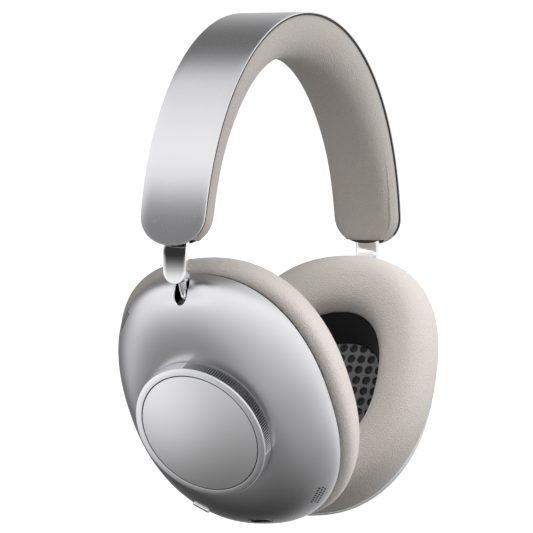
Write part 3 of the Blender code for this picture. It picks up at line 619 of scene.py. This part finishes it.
def build_band_pad():
    """The leather pad: a D section that wraps the tray up to the plate's edge."""
    floor = TRAY_BOTTOM + 0.00012
    turn = np.linspace(0, np.pi / 2, 9)
    ends = PAD_END_INSET + PAD_CORNER * (1 - np.cos(turn))
    middle = np.linspace(ends[-1], BAND_LENGTH - ends[-1], 190)[1:-1]
    s = np.concatenate((ends, middle, (BAND_LENGTH - ends)[::-1]))
    edge = np.minimum(s, BAND_LENGTH - s) - PAD_END_INSET
    ease = np.clip(1 - edge / PAD_CORNER, 0.0, 1.0)
    shrink = PAD_CORNER * (1 - np.sqrt(np.clip(1 - ease ** 2, 0.0, 1.0)))
    half = np.maximum(strap_half(s, 0.00022), 0.0085)
    swell = np.sin(np.pi * s / BAND_LENGTH) ** CROWN_SWELL_EXPONENT
    thickness = BAND_END_THICKNESS + (CROWN_THICKNESS - BAND_END_THICKNESS) * swell
    bottom = thickness - shrink * 0.9
    shoulder = PAD_LIP + (bottom - PAD_LIP) * 0.16
    width = half - np.minimum(shrink, 0.0016) * 0.55
    rows = []
    for angle in np.linspace(0, np.pi, 44):
        c = math.cos(angle)
        y = width * math.copysign(1.0, c) * abs(c) ** (0.62 + 0.24 * swell)
        drop = abs(math.sin(angle)) ** (0.78 + 0.20 * swell)
        rows.append(on_band(s, shoulder + (bottom - shoulder) * drop, y))
    lip_half = width - 0.0003
    outer = [on_band(s, PAD_LIP, lip_half)] + rows + [on_band(s, PAD_LIP, -lip_half)]
    inner_half = np.maximum(strap_half(s, TRAY_INSET - 0.0001), 0.0080)
    inner_half = np.minimum(inner_half, width - PAD_SKIN * 0.5)
    count = len(outer)
    inner = []
    for k in range(count):
        q = 1 - 2 * k / (count - 1)
        y = inner_half * np.clip(q * 1.5, -1, 1)
        depth = PAD_LIP + (floor - PAD_LIP) * np.clip((1 - abs(q)) * 3.0, 0, 1)
        inner.append(on_band(s, depth, y))
    ring = np.stack(outer + inner[::-1], 1)
    stations, around = ring.shape[:2]
    faces = grid_faces(stations, around, wrap_columns=True)
    for base in (0, (stations - 1) * around):
        for k in range(count - 1):
            faces.append((base + k, base + k + 1,
                          base + around - 2 - k, base + around - 1 - k))
    pad = solid("band_pad", ring.reshape(-1, 3), faces, LEATHER, angle=50.0)
    depth = below_band(pad)
    share = np.clip((depth - PAD_HELD_DEPTH) / PAD_EASE, 0.0, 1.0)[:, None]
    inflate(pad, depth < PAD_HELD_DEPTH, share)
    dress(pad, "headband", "leather", "headband_pad")


# ---- arms
def arm_face(height):
    """X of the strip's outer face: an arc, a short bend, then a straight shank."""
    arc = lambda h: -ARM_FACE_X + ARM_RADIUS - np.sqrt(
        ARM_RADIUS ** 2 - (h - ARM_CENTRE_RISE) ** 2)
    first = (ARM_BEND_START - ARM_CENTRE_RISE) / ARM_RADIUS
    run = ARM_BEND_END - ARM_BEND_START
    into = np.clip(height - ARM_BEND_START, 0.0, run)
    return (arc(np.minimum(height, ARM_BEND_START)) + first * into
            + (ARM_SLOPE - first) * into ** 2 / (2 * run)
            + ARM_SLOPE * np.maximum(height - ARM_BEND_END, 0.0))


def on_arm(height, depth, y):
    """Points at a height on the strip, depth in from its outer face."""
    slope = (arm_face(height + 1e-5) - arm_face(height - 1e-5)) / 2e-5
    size = np.hypot(1.0, slope)
    parts = np.broadcast_arrays(arm_face(height) + depth / size, y,
                                BAND_CENTRE_Z + height - depth * slope / size)
    return np.stack(parts, -1)


def build_arm():
    tip = ARM_WIDTH / 2
    rim = [(0.00020, 0.0), (0.00015, 0.00001), (0.0, 0.00016),
           (0.0, ARM_THICKNESS - 0.0004), (0.00042, ARM_THICKNESS - 0.00002),
           (0.00050, ARM_THICKNESS)]

    def stations(inset):
        start = ARM_LOWER_END + inset + (tip - inset) * (
            1 - np.cos(np.linspace(0, np.pi / 2, 20)))
        height = np.concatenate((start, np.linspace(start[-1], ARM_UPPER_END, 60)[1:]))
        into = np.clip((height - ARM_LOWER_END - inset) / (tip - inset), 0.0, 1.0)
        return height, (tip - inset) * np.sqrt(1 - (1 - into) ** 2)

    arm = strip_solid("right_arm_strip", rim, stations, on_arm, POLISHED, 7, 25.0)
    both(arm, "arm", "polished_steel", "arm")


def build_post():
    """Post, its lug behind the strip, and the collar in the slot."""
    turn = POST_AXIS.to_track_quat("Z", "Y").to_matrix().to_4x4()
    place = Matrix.Translation(PIVOT) @ turn
    profile = [(0.0, 0.0128), (0.0017, 0.0128), (0.0019, 0.0126), (0.00178, 0.0040),
               (0.0015, 0.0036), (0.0012, 0.0036), (0.0012, -0.0030), (0.0020, -0.0030),
               (0.0020, -0.0037), (0.0019, -0.0038), (0.0, -0.0038)]
    post = turned("right_post_pin", profile, POLISHED, place, 48)
    low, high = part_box("right_post")
    outline = [(low.x, -0.0022), (low.x + 0.0046, -0.0022), (low.x + 0.0046, 0.0022),
               (low.x, 0.0022)]
    lug = prism("right_post_lug", outline, high.z - 0.0036, high.z, POLISHED)
    rounded(lug, 0.0005)
    both(post, "arm", "polished_steel", "post")
    both(lug, "arm", "polished_steel")
    barrel = turned("right_collar_barrel", [
        (0.0014, 0.0030), (0.0020, 0.0030), (0.0024, 0.0028), (0.0027, 0.0022),
        (0.0028, 0.0014), (0.0028, -0.0014), (0.0026, -0.0021), (0.0022, -0.0026),
        (0.0014, -0.0026)], BLACK, place, 48)
    both(barrel, "swivel", "dark_plastic")


# ---- cups
def power(value, exponent):
    return np.sign(value) * np.abs(value) ** exponent


def oval(angle, half_depth, half_height, y=0.0, z=0.0):
    p = half_depth * power(np.cos(angle), 2 / RIM_EXPONENT)
    q = half_height * power(np.sin(angle), 2 / RIM_EXPONENT)
    c, s = math.cos(RIM_LEAN), math.sin(RIM_LEAN)
    return y + p * c - q * s, z + p * s + q * c


def ring_angles(count):
    return np.linspace(0, 2 * np.pi, count, endpoint=False)


def oval_ring(x, angle, *size):
    """Points round an oval at one x in cup coordinates."""
    ys, zs = oval(angle, *size)
    return np.stack([0 * ys + x, ys, zs], -1)


def dome_point(angle, blend):
    """Outer face of the shell in cup coordinates, from the rim (0) to the seat (1)."""
    p = DOME_EXPONENT + SHOULDER_EXPONENT * np.maximum(np.sin(angle), 0.0) ** 6
    depth = RIM_WALL + (SEAT_DEPTH - RIM_WALL) * (1 - (1 - blend) ** p) ** (1 / p)
    y0, z0 = oval(angle, RIM_HALF_DEPTH, RIM_HALF_HEIGHT)
    y1, z1 = DIAL_Y + SEAT_RADIUS * np.cos(angle), DIAL_Z + SEAT_RADIUS * np.sin(angle)
    return np.stack([-depth + 0 * angle, y0 + (y1 - y0) * blend, z0 + (z1 - z0) * blend], -1)


def dome_frame(degrees, blend):
    """Matrix whose Z stands out of the shell and whose X runs round it."""
    angle, step = math.radians(degrees), 1e-3
    centre = Vector(dome_point(angle, blend))
    across = Vector(dome_point(angle, blend + step)) - Vector(dome_point(angle, blend - step))
    around = Vector(dome_point(angle + step, blend)) - Vector(dome_point(angle - step, blend))
    out = across.cross(around).normalized()
    if out.x > 0:
        out.negate()
    along = around.normalized()
    return axes(along, out.cross(along), out, centre)


def shell_solid(name):
    """The whole dome with its wall, from the rim in to the dial's seat."""
    count = 200
    angle = ring_angles(count)
    rings = [oval_ring(0.0, angle, RIM_HALF_DEPTH - 0.0002, RIM_HALF_HEIGHT - 0.0002),
             oval_ring(-0.0002, angle, RIM_HALF_DEPTH, RIM_HALF_HEIGHT)]
    blends = np.concatenate(([0.0], (np.linspace(0, 1, 42)[1:]) ** 2.1))
    rings += [dome_point(angle, blend) for blend in blends]
    for radius in SEAT_RINGS:
        rings.append(np.stack([0 * angle - SEAT_DEPTH, DIAL_Y + radius * np.cos(angle),
                               DIAL_Z + radius * np.sin(angle)], -1))
    points = np.stack(rings, 0)
    mesh = new_mesh(name, points.reshape(-1, 3).tolist(),
                    grid_faces(len(rings), count, wrap_columns=True))
    with editing(mesh) as bm:
        bm.normal_update()
        if sum(face.normal.x for face in bm.faces) > 0:
            bmesh.ops.reverse_faces(bm, faces=bm.faces)
    obj = link(name, mesh, SATIN)
    mod = obj.modifiers.new("wall", "SOLIDIFY")
    mod.thickness = SHELL_THICKNESS
    mod.offset = -1.0
    mod.use_even_offset = True
    return apply_modifiers(obj)


SLOT_CENTRE = Vector((-0.0068, (CUP.inverted() @ PIVOT).y, 0.0467))
SLOT_LONG = Vector((0.92, 0.0, 0.39)).normalized()
SLOT_OUT = Vector((-SLOT_LONG.z, 0.0, SLOT_LONG.x))
SLOT_HALF = 0.0018
SLOT_RADIUS = 0.0030
SLOT = axes(SLOT_LONG, SLOT_OUT.cross(SLOT_LONG), SLOT_OUT, SLOT_CENTRE)
BUTTON = dome_frame(300, 0.25)
BUTTON_HALF = 0.0021
BUTTON_RADIUS = 0.0014
SOCKET = dome_frame(268, 0.20)
SOCKET_HALF = 0.0031
SOCKET_RADIUS = 0.0016
VENTS = ((226.5, 0.12), (47.5, 0.09))
VENT_RADIUS = 0.00042
VENT_PITCH = 0.00124
VENT_ROW = 0.00118


def build_vents(tree):
    """Groups of fine microphone holes, drawn as small black pins in the shell's face: painted shade for the dark
    inside of each hole.
    """
    points, faces = [], []
    sides = 10
    for position in VENTS:
        place = dome_frame(*position)
        out = place.to_3x3() @ Vector((0, 0, 1))
        for row in (-1, 0, 1):
            for k in range(7):
                shift = 0.5 * VENT_PITCH if row else 0.0
                spot = Vector(((k - 3) * VENT_PITCH + shift, row * VENT_ROW, 0.003))
                hit, normal, _, _ = tree.ray_cast(place @ spot, -out)
                turn = normal.to_track_quat("Z", "Y").to_matrix()
                start = len(points)
                for height in (-0.0003, 0.00001):
                    points += [hit + turn @ Vector((VENT_RADIUS * math.cos(a),
                                                    VENT_RADIUS * math.sin(a), height))
                               for a in ring_angles(sides)]
                faces += [tuple(start + i for i in face) for face in barrel_faces(sides)]
    # Black pins, not cut holes: painted shade standing in for the holes' dark insides.
    vent_shade = solid("right_vent_holes", points, faces, BLACK, CUP, 30.0)
    both(vent_shade, "cup", "dark_plastic")


def slot_trim(tree):
    """A polished bevel that lines the slot's edge, laid on the shell's face."""
    outline = stadium(SLOT_HALF, SLOT_RADIUS + 0.00005, 22)
    base, normals = [], []
    for u, v in outline:
        origin = SLOT @ Vector((u, v, 0.02))
        hit, normal, _, _ = tree.ray_cast(origin, -SLOT_OUT)
        base.append(hit)
        normals.append(normal)
    count = len(base)
    profile = [(0.00004, 0.00002), (-0.00006, 0.00003), (-0.00020, -0.00014),
               (-0.00024, -0.0004), (-0.00024, -0.0016), (0.00004, -0.0016),
               (0.00004, -0.0004)]
    points = []
    for i in range(count):
        along = (base[(i + 1) % count] - base[i - 1]).normalized()
        away = along.cross(SLOT_OUT).normalized()
        if away.dot(base[i] - sum(base, Vector()) / count) < 0:
            away.negate()
        for out, rise in profile:
            points.append(base[i] + away * out + normals[i] * rise)
    faces = grid_faces(count, len(profile), True, True)
    return solid("right_slot_trim", points, faces, POLISHED, CUP, 30.0)


def keep_dome_shading(obj, whole, tree, place):
    """Shade the cut shell's faces with the normals of the whole one."""
    mesh = obj.data
    back = place.inverted()
    turn = back.to_3x3()
    ahead = place.to_3x3()
    normals = [(0.0, 0.0, 0.0)] * len(mesh.loops)
    corner = [Vector(item.vector) for item in whole.corner_normals]
    for face in mesh.polygons:
        facing = turn @ face.normal
        for k in face.loop_indices:
            point = back @ mesh.vertices[mesh.loops[k].vertex_index].co
            hit, normal, index, far = tree.find_nearest(point)
            if far > 1e-5 or facing.dot(normal) < 0.97:
                continue
            source = whole.polygons[index]
            weights = poly_3d_calc([whole.vertices[i].co for i in source.vertices], hit)
            mixed = Vector()
            for weight, loop in zip(weights, source.loop_indices):
                mixed += corner[loop] * weight
            normals[k] = tuple((ahead @ mixed).normalized())
    mesh.normals_split_custom_set(normals)


def build_shells():
    """Both shells, cut from one dome; the right one also has its button and socket."""
    plain = shade(shell_solid("shell_plain"), 32.0)
    whole = plain.data.copy()
    bm = bmesh.new()
    bm.from_mesh(plain.data)
    tree = BVHTree.FromBMesh(bm)
    bm.free()
    cut(plain, prism("slot", stadium(SLOT_HALF, SLOT_RADIUS, 22), -0.0062, 0.009,
                     SATIN, SLOT))
    right = put("right_cup_shell", plain.data.copy())
    for half, radius, place in ((BUTTON_HALF, BUTTON_RADIUS, BUTTON),
                                (SOCKET_HALF, SOCKET_RADIUS, SOCKET)):
        cut(right, prism("hole", stadium(half, radius + GAP), -0.004, 0.003, SATIN, place))
    right.data.transform(CUP)
    left = put("left_cup_shell", plain.data.copy())
    left.data.transform(MIRROR @ CUP)
    left.data.flip_normals()
    for side, obj, place in (("right", right, CUP), ("left", left, MIRROR @ CUP)):
        shade(obj, 32.0)
        keep_dome_shading(obj, whole, tree, place)
        dress(obj, side + "_cup", "satin_aluminium", side + "_shell")
    bpy.data.objects.remove(plain, do_unlink=True)
    both(slot_trim(tree), "cup", "polished_steel")
    build_vents(tree)


def cushion_section(angle_count, section_count, shrink=0.0):
    """Rings of the ear cushion in cup coordinates."""
    angle = ring_angles(angle_count)
    oy, oz = oval(angle, RIM_HALF_DEPTH + CUSHION_GROWTH[0],
                  RIM_HALF_HEIGHT + CUSHION_GROWTH[1])
    iy, iz = oval(angle, EAR_HALF_DEPTH, EAR_HALF_HEIGHT, EAR_Y, EAR_Z)
    outer, inner = np.stack([oy, oz], -1), np.stack([iy, iz], -1)
    centre, reach = (outer + inner) / 2, (outer - inner) / 2
    size = np.linalg.norm(reach, axis=-1, keepdims=True)
    reach = reach * (size - shrink) / size
    half = (CUSHION_FACE - CUSHION_BASE) / 2
    middle = (CUSHION_BASE + CUSHION_FACE) / 2 + 0.0002
    turn = ring_angles(section_count)
    bend = np.where((np.cos(turn) > 0) & (np.sin(turn) < 0), *CUSHION_BENDS)
    x = middle + (half - shrink) * power(np.sin(turn), bend)
    side = power(np.cos(turn), bend)
    taper = np.where(side > 0, 1.0 - CUSHION_TAPER * np.maximum(x - CUSHION_TAPER_START, 0.0),
                     1.0)
    yz = centre[:, None, :] + reach[:, None, :] * (side * taper)[None, :, None]
    xs = np.broadcast_to(x[None, :, None], yz.shape[:2] + (1,))
    return np.concatenate([xs, yz], -1)


def build_cushions():
    shrink = 0.0003
    cushion = ring_solid("right_ear_cushion", cushion_section(160, 48, shrink), LEATHER, 60.0)
    back = CUP.inverted()
    inflate(cushion, np.array([(back @ v.co).x < CUSHION_HELD_DEPTH
                               for v in cushion.data.vertices]))
    for piece in both(cushion, "cup", "leather", "cushion"):
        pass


def build_lining():
    """Dark lining inside the ear opening, from the throat down to the grille."""
    profile = ((0.0, 0.0112), (0.0002, 0.0104), (-0.0006, 0.0100), (-0.0008, 0.0040),
               (-0.0010, 0.0024), (0.0012, 0.0024), (0.0010, 0.0040), (0.0008, 0.0100))
    rows = []
    for grow, x in profile:
        drop = LINING_DROP * min(max((0.0104 - x) / 0.0080, 0.0), 1.0)
        rows.append(oval_ring(x, ring_angles(120), EAR_HALF_DEPTH + grow,
                              EAR_HALF_HEIGHT + grow - drop, EAR_Y, EAR_Z - drop))
    lining = ring_solid("right_ear_lining", np.stack(rows, 1), LINING, 50.0)
    both(lining, "cup", "leather")


def build_grille():
    """Perforated cover: a square grid of round holes, with mesh cloth behind."""
    pitch, radius, sides = 0.0043, 0.00172, 24
    cy, cz = EAR_Y * 0.5, EAR_Z * 0.5
    ys, zs = oval(ring_angles(120), 0.0244, 0.0318, cy, cz)
    outlines, holes = [list(zip(ys, zs))], []
    for row in range(-8, 9):
        for column in range(-6, 7):
            y, z = column * pitch, row * pitch
            if abs(y / 0.0213) ** 2.3 + abs(z / 0.0287) ** 2.3 < 1.0:
                holes.append(Vector((cy + y, cz + z)))
                outlines.append([(cy + y + radius * math.cos(a), cz + z + radius * math.sin(a))
                                 for a in ring_angles(sides)])
    flat, edges = [], []
    for outline in outlines:
        start, count = len(flat), len(outline)
        flat += [Vector(point) for point in outline]
        edges += [(start + i, start + (i + 1) % count) for i in range(count)]
    places, _, triangles = delaunay_2d_cdt(flat, edges, [], 2, 1e-7, False)[:3]

    def in_hole(triangle):
        middle = sum((places[i] for i in triangle), Vector((0.0, 0.0))) / 3
        return any((middle - hole).length < radius * 0.97 for hole in holes)

    sheet = new_mesh("grille", [(y, z, 0.0) for y, z in places],
                     [triangle for triangle in triangles if not in_hole(triangle)])
    grille = link("right_ear_grille", sheet, GRILLE)
    mod = grille.modifiers.new("wall", "SOLIDIFY")
    mod.thickness = 0.0007
    mod.offset = 0.0
    apply_modifiers(grille)
    with editing(grille.data) as bm:
        bmesh.ops.recalc_face_normals(bm, faces=bm.faces)
    grille.data.transform(CUP @ Matrix.Translation((0.00175, 0, 0)) @ FLAT)
    both(shade(grille, 30.0), "cup", "grille", "grille")
    ys, zs = oval(ring_angles(120), 0.0238, 0.0312, cy, cz)
    cloth = prism("right_grille_cloth", list(zip(ys, zs)), 0.00128, 0.00139, MESH_BACK,
                  CUP @ FLAT)
    both(cloth, "cup", "grille")


def build_cushion_ring():
    profile = ((0.0008, 0.0003), (0.0006, 0.0005), (0.0006, 0.0011), (0.0008, 0.0013),
               (0.0150, 0.0013), (0.0150, 0.0002), (0.0012, 0.0002))
    rows = [oval_ring(x, ring_angles(200), RIM_HALF_DEPTH - inset, RIM_HALF_HEIGHT - inset)
            for inset, x in profile]
    ring = ring_solid("right_ring_edge", np.stack(rows, 1), BLACK)
    both(ring, "cup", "dark_plastic", "cushion_ring")


# ---- dial and disc
def in_knurl(angle):
    """Whether the dial's edge is serrated at an angle; the thumb rests are plain."""
    return any(math.radians(start) <= turn <= math.radians(end) for start, end in KNURL_ARCS
               for turn in (angle, angle + 2 * math.pi))


def build_dial():
    """The dial, its serration with black strips of painted shade in its valleys, the disc in it and the dark seam
    between them.
    """
    # Heights stand out of the cup, so X points outwards here. That makes the matrix a
    # mirroring one, which leaves the faces of these pieces pointing inwards.
    place = axes(-INWARD, ASIDE, UPWARD, DIAL_CENTRE) @ FLAT
    face, base, outer = DIAL_FACE, DIAL_BASE, DIAL_RADIUS
    inner = DISC_RADIUS + 0.00020
    profile = [(inner, face - 0.0012), (inner, face - 0.00004), (inner + 0.00004, face),
               (outer - 0.00055, face), (outer - 0.00028, face - 0.0001),
               (outer - 0.00006, face - 0.0004), (outer, face - 0.00062)]
    knurled = [(outer, face - 0.00075), (outer, face - 0.0017), (outer, face - 0.0028),
               (outer, base + 0.0003)]
    tail = [(outer - 0.0006, base), (0.0220, base), (0.0220, face - 0.0012)]
    steps = KNURL_TEETH * KNURL_STEPS
    points = []
    for k in range(steps):
        angle = 2 * math.pi * k / steps
        dip = KNURL_DEPTH if k % KNURL_STEPS and in_knurl(angle) else 0.0
        cut_in = [(radius - dip, height) for radius, height in knurled]
        points += [(r * math.cos(angle), r * math.sin(angle), h)
                   for r, h in profile + cut_in + tail]
    dial = solid("right_dial_ring", points, grid_faces(steps, len(points) // steps, True, True),
                 SATIN, place, 24.0)
    both(dial, "dial", "satin_aluminium", "dial")
    # Black strips laid in the serration's valleys: painted shade that darkens the grooves between the teeth.
    shade_strips, walls = [], []
    half = 1.6 * math.pi / steps
    corners = ((outer - 0.00052, -half), (outer - 0.00028, -half),
               (outer - 0.00028, half), (outer - 0.00052, half))
    for k in range(2, steps, KNURL_STEPS):
        middle = 2 * math.pi * k / steps
        if not in_knurl(middle):
            continue
        walls += [tuple(len(shade_strips) + i for i in wall) for wall in barrel_faces(4)]
        shade_strips += [(radius * math.cos(middle + turn), radius * math.sin(middle + turn), height)
                   for height in (base + 0.0004, face - 0.0008) for radius, turn in corners]
    groove_shade = solid("right_dial_grooves", shade_strips, walls, BLACK, place)
    both(groove_shade, "dial", "dark_plastic")
    edge = DISC_RADIUS - 0.00020
    disc = turned("right_dial_disc", [
        (0.0, face), (DISC_RADIUS - 0.00026, face), (DISC_RADIUS - 0.00022, face - 0.00002),
        (edge, face - 0.00006), (edge, face - 0.0012), (0.0030, face - 0.0012),
        (0.0030, 0.0155), (0.0, 0.0155)], BRUSHED, place, 160, closed=False)
    both(disc, "disc", "brushed_aluminium", "disc")
    near, far = DISC_RADIUS - 0.00018, DISC_RADIUS + 0.00019
    seam = turned("right_disc_seam", [(near, face - 0.00014), (far, face - 0.00014),
                                      (far, face - 0.0011), (near, face - 0.0011)],
                  BLACK, place, 160)
    both(seam, "dial", "dark_plastic")


def build_right_fittings():
    """The mode button and the tongue in the USB socket's mouth."""
    outline = stadium(BUTTON_HALF, BUTTON_RADIUS, 20)
    button = prism("right_mode_key", outline, -0.0022, 0.0007, SATIN, CUP @ BUTTON)
    rounded(button, 0.0003, limit_method="ANGLE")
    dress(button, "right_mode_button", "satin_aluminium", "right_mode_button")
    tongue = [(-0.0022, -0.00035), (0.0022, -0.00035), (0.0022, 0.00035), (-0.0022, 0.00035)]
    piece = prism("right_socket_tongue", tongue, -0.0037, -0.0009, BLACK, CUP @ SOCKET)
    dress(piece, "right_cup", "dark_plastic")


def finish_carried_nodes():
    """Materials for the frame's own nodes that stay in the model."""
    looks = {"satin_aluminium": SATIN, "brushed_aluminium": BRUSHED,
             "polished_steel": POLISHED, "spring_steel": SPRING, "leather": LEATHER,
             "dark_plastic": BLACK, "grille": GRILLE, "cable_jacket": CABLE,
             "driver_metal": SPRING, "driver_film": FILM, "circuit_board": BOARD,
             "battery_wrap": FOIL}
    for part in frame["record"]["subparts"]:
        node = NODES[part["node"]]
        mat = looks[part["material_slot"]]
        if not node.data.materials:
            node.data.materials.append(mat)
        for place in node.material_slots:
            place.material = mat


# ---- studio
DIFFUSE_LOSS = -0.58
BACKDROP_LEVEL = 1.05
FLOOR_DROP = 0.035
FLOOR_HALF = 30.0
SKY_STEPS = ((-1.0, 0.16), (-0.966, 0.25), (-0.82, 0.40), (-0.57, 0.63), (-0.26, 1.00),
             (0.0, 1.12), (0.30, 1.25), (0.60, 1.25), (0.82, 1.00), (1.0, 0.70))


def heading(azimuth, elevation):
    a, e = math.radians(azimuth), math.radians(elevation)
    return Vector((math.cos(a) * math.cos(e), math.sin(a) * math.cos(e), math.sin(e)))


class Sky(Tree):
    """A soft surround: a ramp from floor to ceiling with darker flags let into it."""

    def __init__(self, tree):
        super().__init__(tree)
        self.view = self.add("ShaderNodeTexCoord").outputs["Generated"]

    def maths(self, operation, *values):
        return self.add("ShaderNodeMath", dict(enumerate(values)),
                        operation=operation).outputs[0]

    def vector(self, operation, *values):
        return self.add("ShaderNodeVectorMath", dict(enumerate(values)),
                        operation=operation).outputs

    def ramp(self):
        split = self.add("ShaderNodeSeparateXYZ", {0: self.view})
        place = self.maths("MULTIPLY_ADD", split.outputs["Z"], 0.5, 0.5)
        ramp = self.add("ShaderNodeValToRGB", {0: place})
        stops = ramp.color_ramp.elements
        for height, level in SKY_STEPS[1:-1]:
            stops.new((height + 1) / 2)
        for stop, (height, level) in zip(stops, SKY_STEPS):
            stop.position = (height + 1) / 2
            stop.color = (level, level, level, 1.0)
        return ramp.outputs[0]

    def flag(self, level, direction, start, end, depth, flat=False):
        """Darken the surround towards a direction, or round a whole meridian."""
        view = self.view
        if flat:
            view = self.vector("MULTIPLY", view, (1.0, 1.0, 0.0))[0]
        dot = self.vector("DOT_PRODUCT", self.vector("NORMALIZE", view)[0], direction)["Value"]
        share = self.remap(dot, 1.0, 1.0 - depth, start, end, interpolation_type="SMOOTHSTEP")
        return self.maths("MULTIPLY", level, share)


def soft_box(name, direction, distance, size, radiance, target=(0.0, 0.0, -0.08),
             only=None, skip=None):
    """An area light out along a direction, lighting all pieces, some, or all but some."""
    light = bpy.data.lights.new(name, "AREA")
    light.shape = "RECTANGLE"
    light.size, light.size_y = size
    light.energy = radiance * math.pi * size[0] * size[1]
    obj = put(name, light)
    obj.location = Vector(target) + direction * distance
    obj.rotation_euler = (-direction).to_track_quat("-Z", "Y").to_euler()
    obj.visible_camera = False
    if only or skip:
        group = bpy.data.collections.new(name + "_pieces")
        for piece in only or skip:
            group.objects.link(bpy.data.objects[piece])
        if skip:
            for entry in group.collection_objects:
                entry.light_linking.link_state = "EXCLUDE"
        obj.light_linking.receiver_collection = group


def build_world():
    """The surround for light and reflections, and plain white for the camera."""
    world = bpy.data.worlds.new("studio")
    bpy.context.scene.world = world
    world.use_nodes = True
    tree = world.node_tree
    sky = Sky(tree)
    level = sky.ramp()
    level = sky.flag(level, heading(61, 0), 0.70, 1.0, 0.84, flat=True)
    level = sky.flag(level, heading(100, -60), 0.75, 0.97, 0.75)
    level = sky.flag(level, heading(150, 8), 0.952, 0.989, 0.97)
    surround = tree.nodes["Background"]
    sky.join(level, surround.inputs["Color"])
    ray = sky.add("ShaderNodeLightPath")
    strength = sky.maths("MULTIPLY_ADD", ray.outputs["Is Diffuse Ray"], DIFFUSE_LOSS, 1.0)
    sky.join(strength, surround.inputs["Strength"])
    white = sky.add("ShaderNodeBackground", {"Strength": BACKDROP_LEVEL, "Color": (1, 1, 1, 1)})
    mix = sky.add("ShaderNodeMixShader", {
        0: ray.outputs["Is Camera Ray"], 1: surround.outputs[0], 2: white.outputs[0]})
    sky.join(mix.outputs[0], tree.nodes["World Output"].inputs["Surface"])


def build_floor():
    """A pale floor, low enough to clear the cups with both arms out."""
    n = Nodes("floor_look")
    n.constants(Roughness=0.9, Emission_Strength=0.75)
    n.shader.inputs["Emission Color"].default_value = (1, 1, 1, 1)
    n.finish(n.blend(n.noise(2.0), (0.90, 0.90, 0.90), (0.93, 0.93, 0.93)))
    size = FLOOR_HALF
    floor = solid("floor", [(-size, -size, 0), (size, -size, 0), (size, size, 0),
                            (-size, size, 0)], [(0, 1, 2, 3)], n.material)
    floor.location.z = CAD_BOX[0][2] - FLOOR_DROP
    floor.visible_glossy = False
    floor.visible_diffuse = False
    floor.visible_shadow = False


def build_lights():
    """Soft boxes: one for the metal, one for the dial and three for the leather."""
    soft_box("left_low", heading(152, 4), 1.5, (0.80, 0.74), 0.85,
             skip=["band_plate", "right_arm_strip"])
    soft_box("disc_glow", heading(121, -28), 0.25, (0.18, 0.18), 0.95,
             target=(-0.0526, 0.0, -0.1343), only=["right_dial_disc", "right_dial_ring"])
    cushions = ["right_ear_cushion", "left_ear_cushion"]
    for name, direction, radiance, only in (
            ("leather_side", (-60, 14), 7.0, ["band_pad", *cushions]),
            ("leather_top", (-115, 70), 13.0, cushions[1:]),
            ("leather_near", (-112, 14), 9.0, cushions[:1])):
        soft_box(name, heading(*direction), 0.9, (0.4, 0.4), radiance, only=only)
    bpy.context.scene.view_settings.view_transform = "Standard"


def build_camera():
    """The photograph's viewpoint, aimed near the middle of the band."""
    azimuth, elevation = math.radians(-60.0), math.radians(1.2157)
    distance, roll = 1.0992, math.radians(0.9654)
    right = Vector((math.cos(azimuth), math.sin(azimuth), 0.0))
    back = Vector((math.sin(azimuth) * math.cos(elevation),
                   -math.cos(azimuth) * math.cos(elevation), math.sin(elevation)))
    up = back.cross(right)
    x_axis = right * math.cos(roll) + up * math.sin(roll)
    y_axis = up * math.cos(roll) - right * math.sin(roll)
    data = bpy.data.cameras.new("camera")
    data.lens = 202.2
    data.sensor_width = 36.0
    data.shift_x = -0.0193
    data.clip_start = 0.01
    camera = put("camera", data)
    camera.matrix_world = axes(x_axis, y_axis, back,
                               Vector((0.0, 0.0, BAND_CENTRE_Z)) + back * distance)
    bpy.context.scene.camera = camera


for build in (finish_carried_nodes, build_plate, build_tray, build_band_pad, build_arm,
              build_post, build_shells, build_cushions, build_lining, build_grille,
              build_cushion_ring, build_dial, build_right_fittings, build_camera,
              build_world, build_floor, build_lights):
    build()
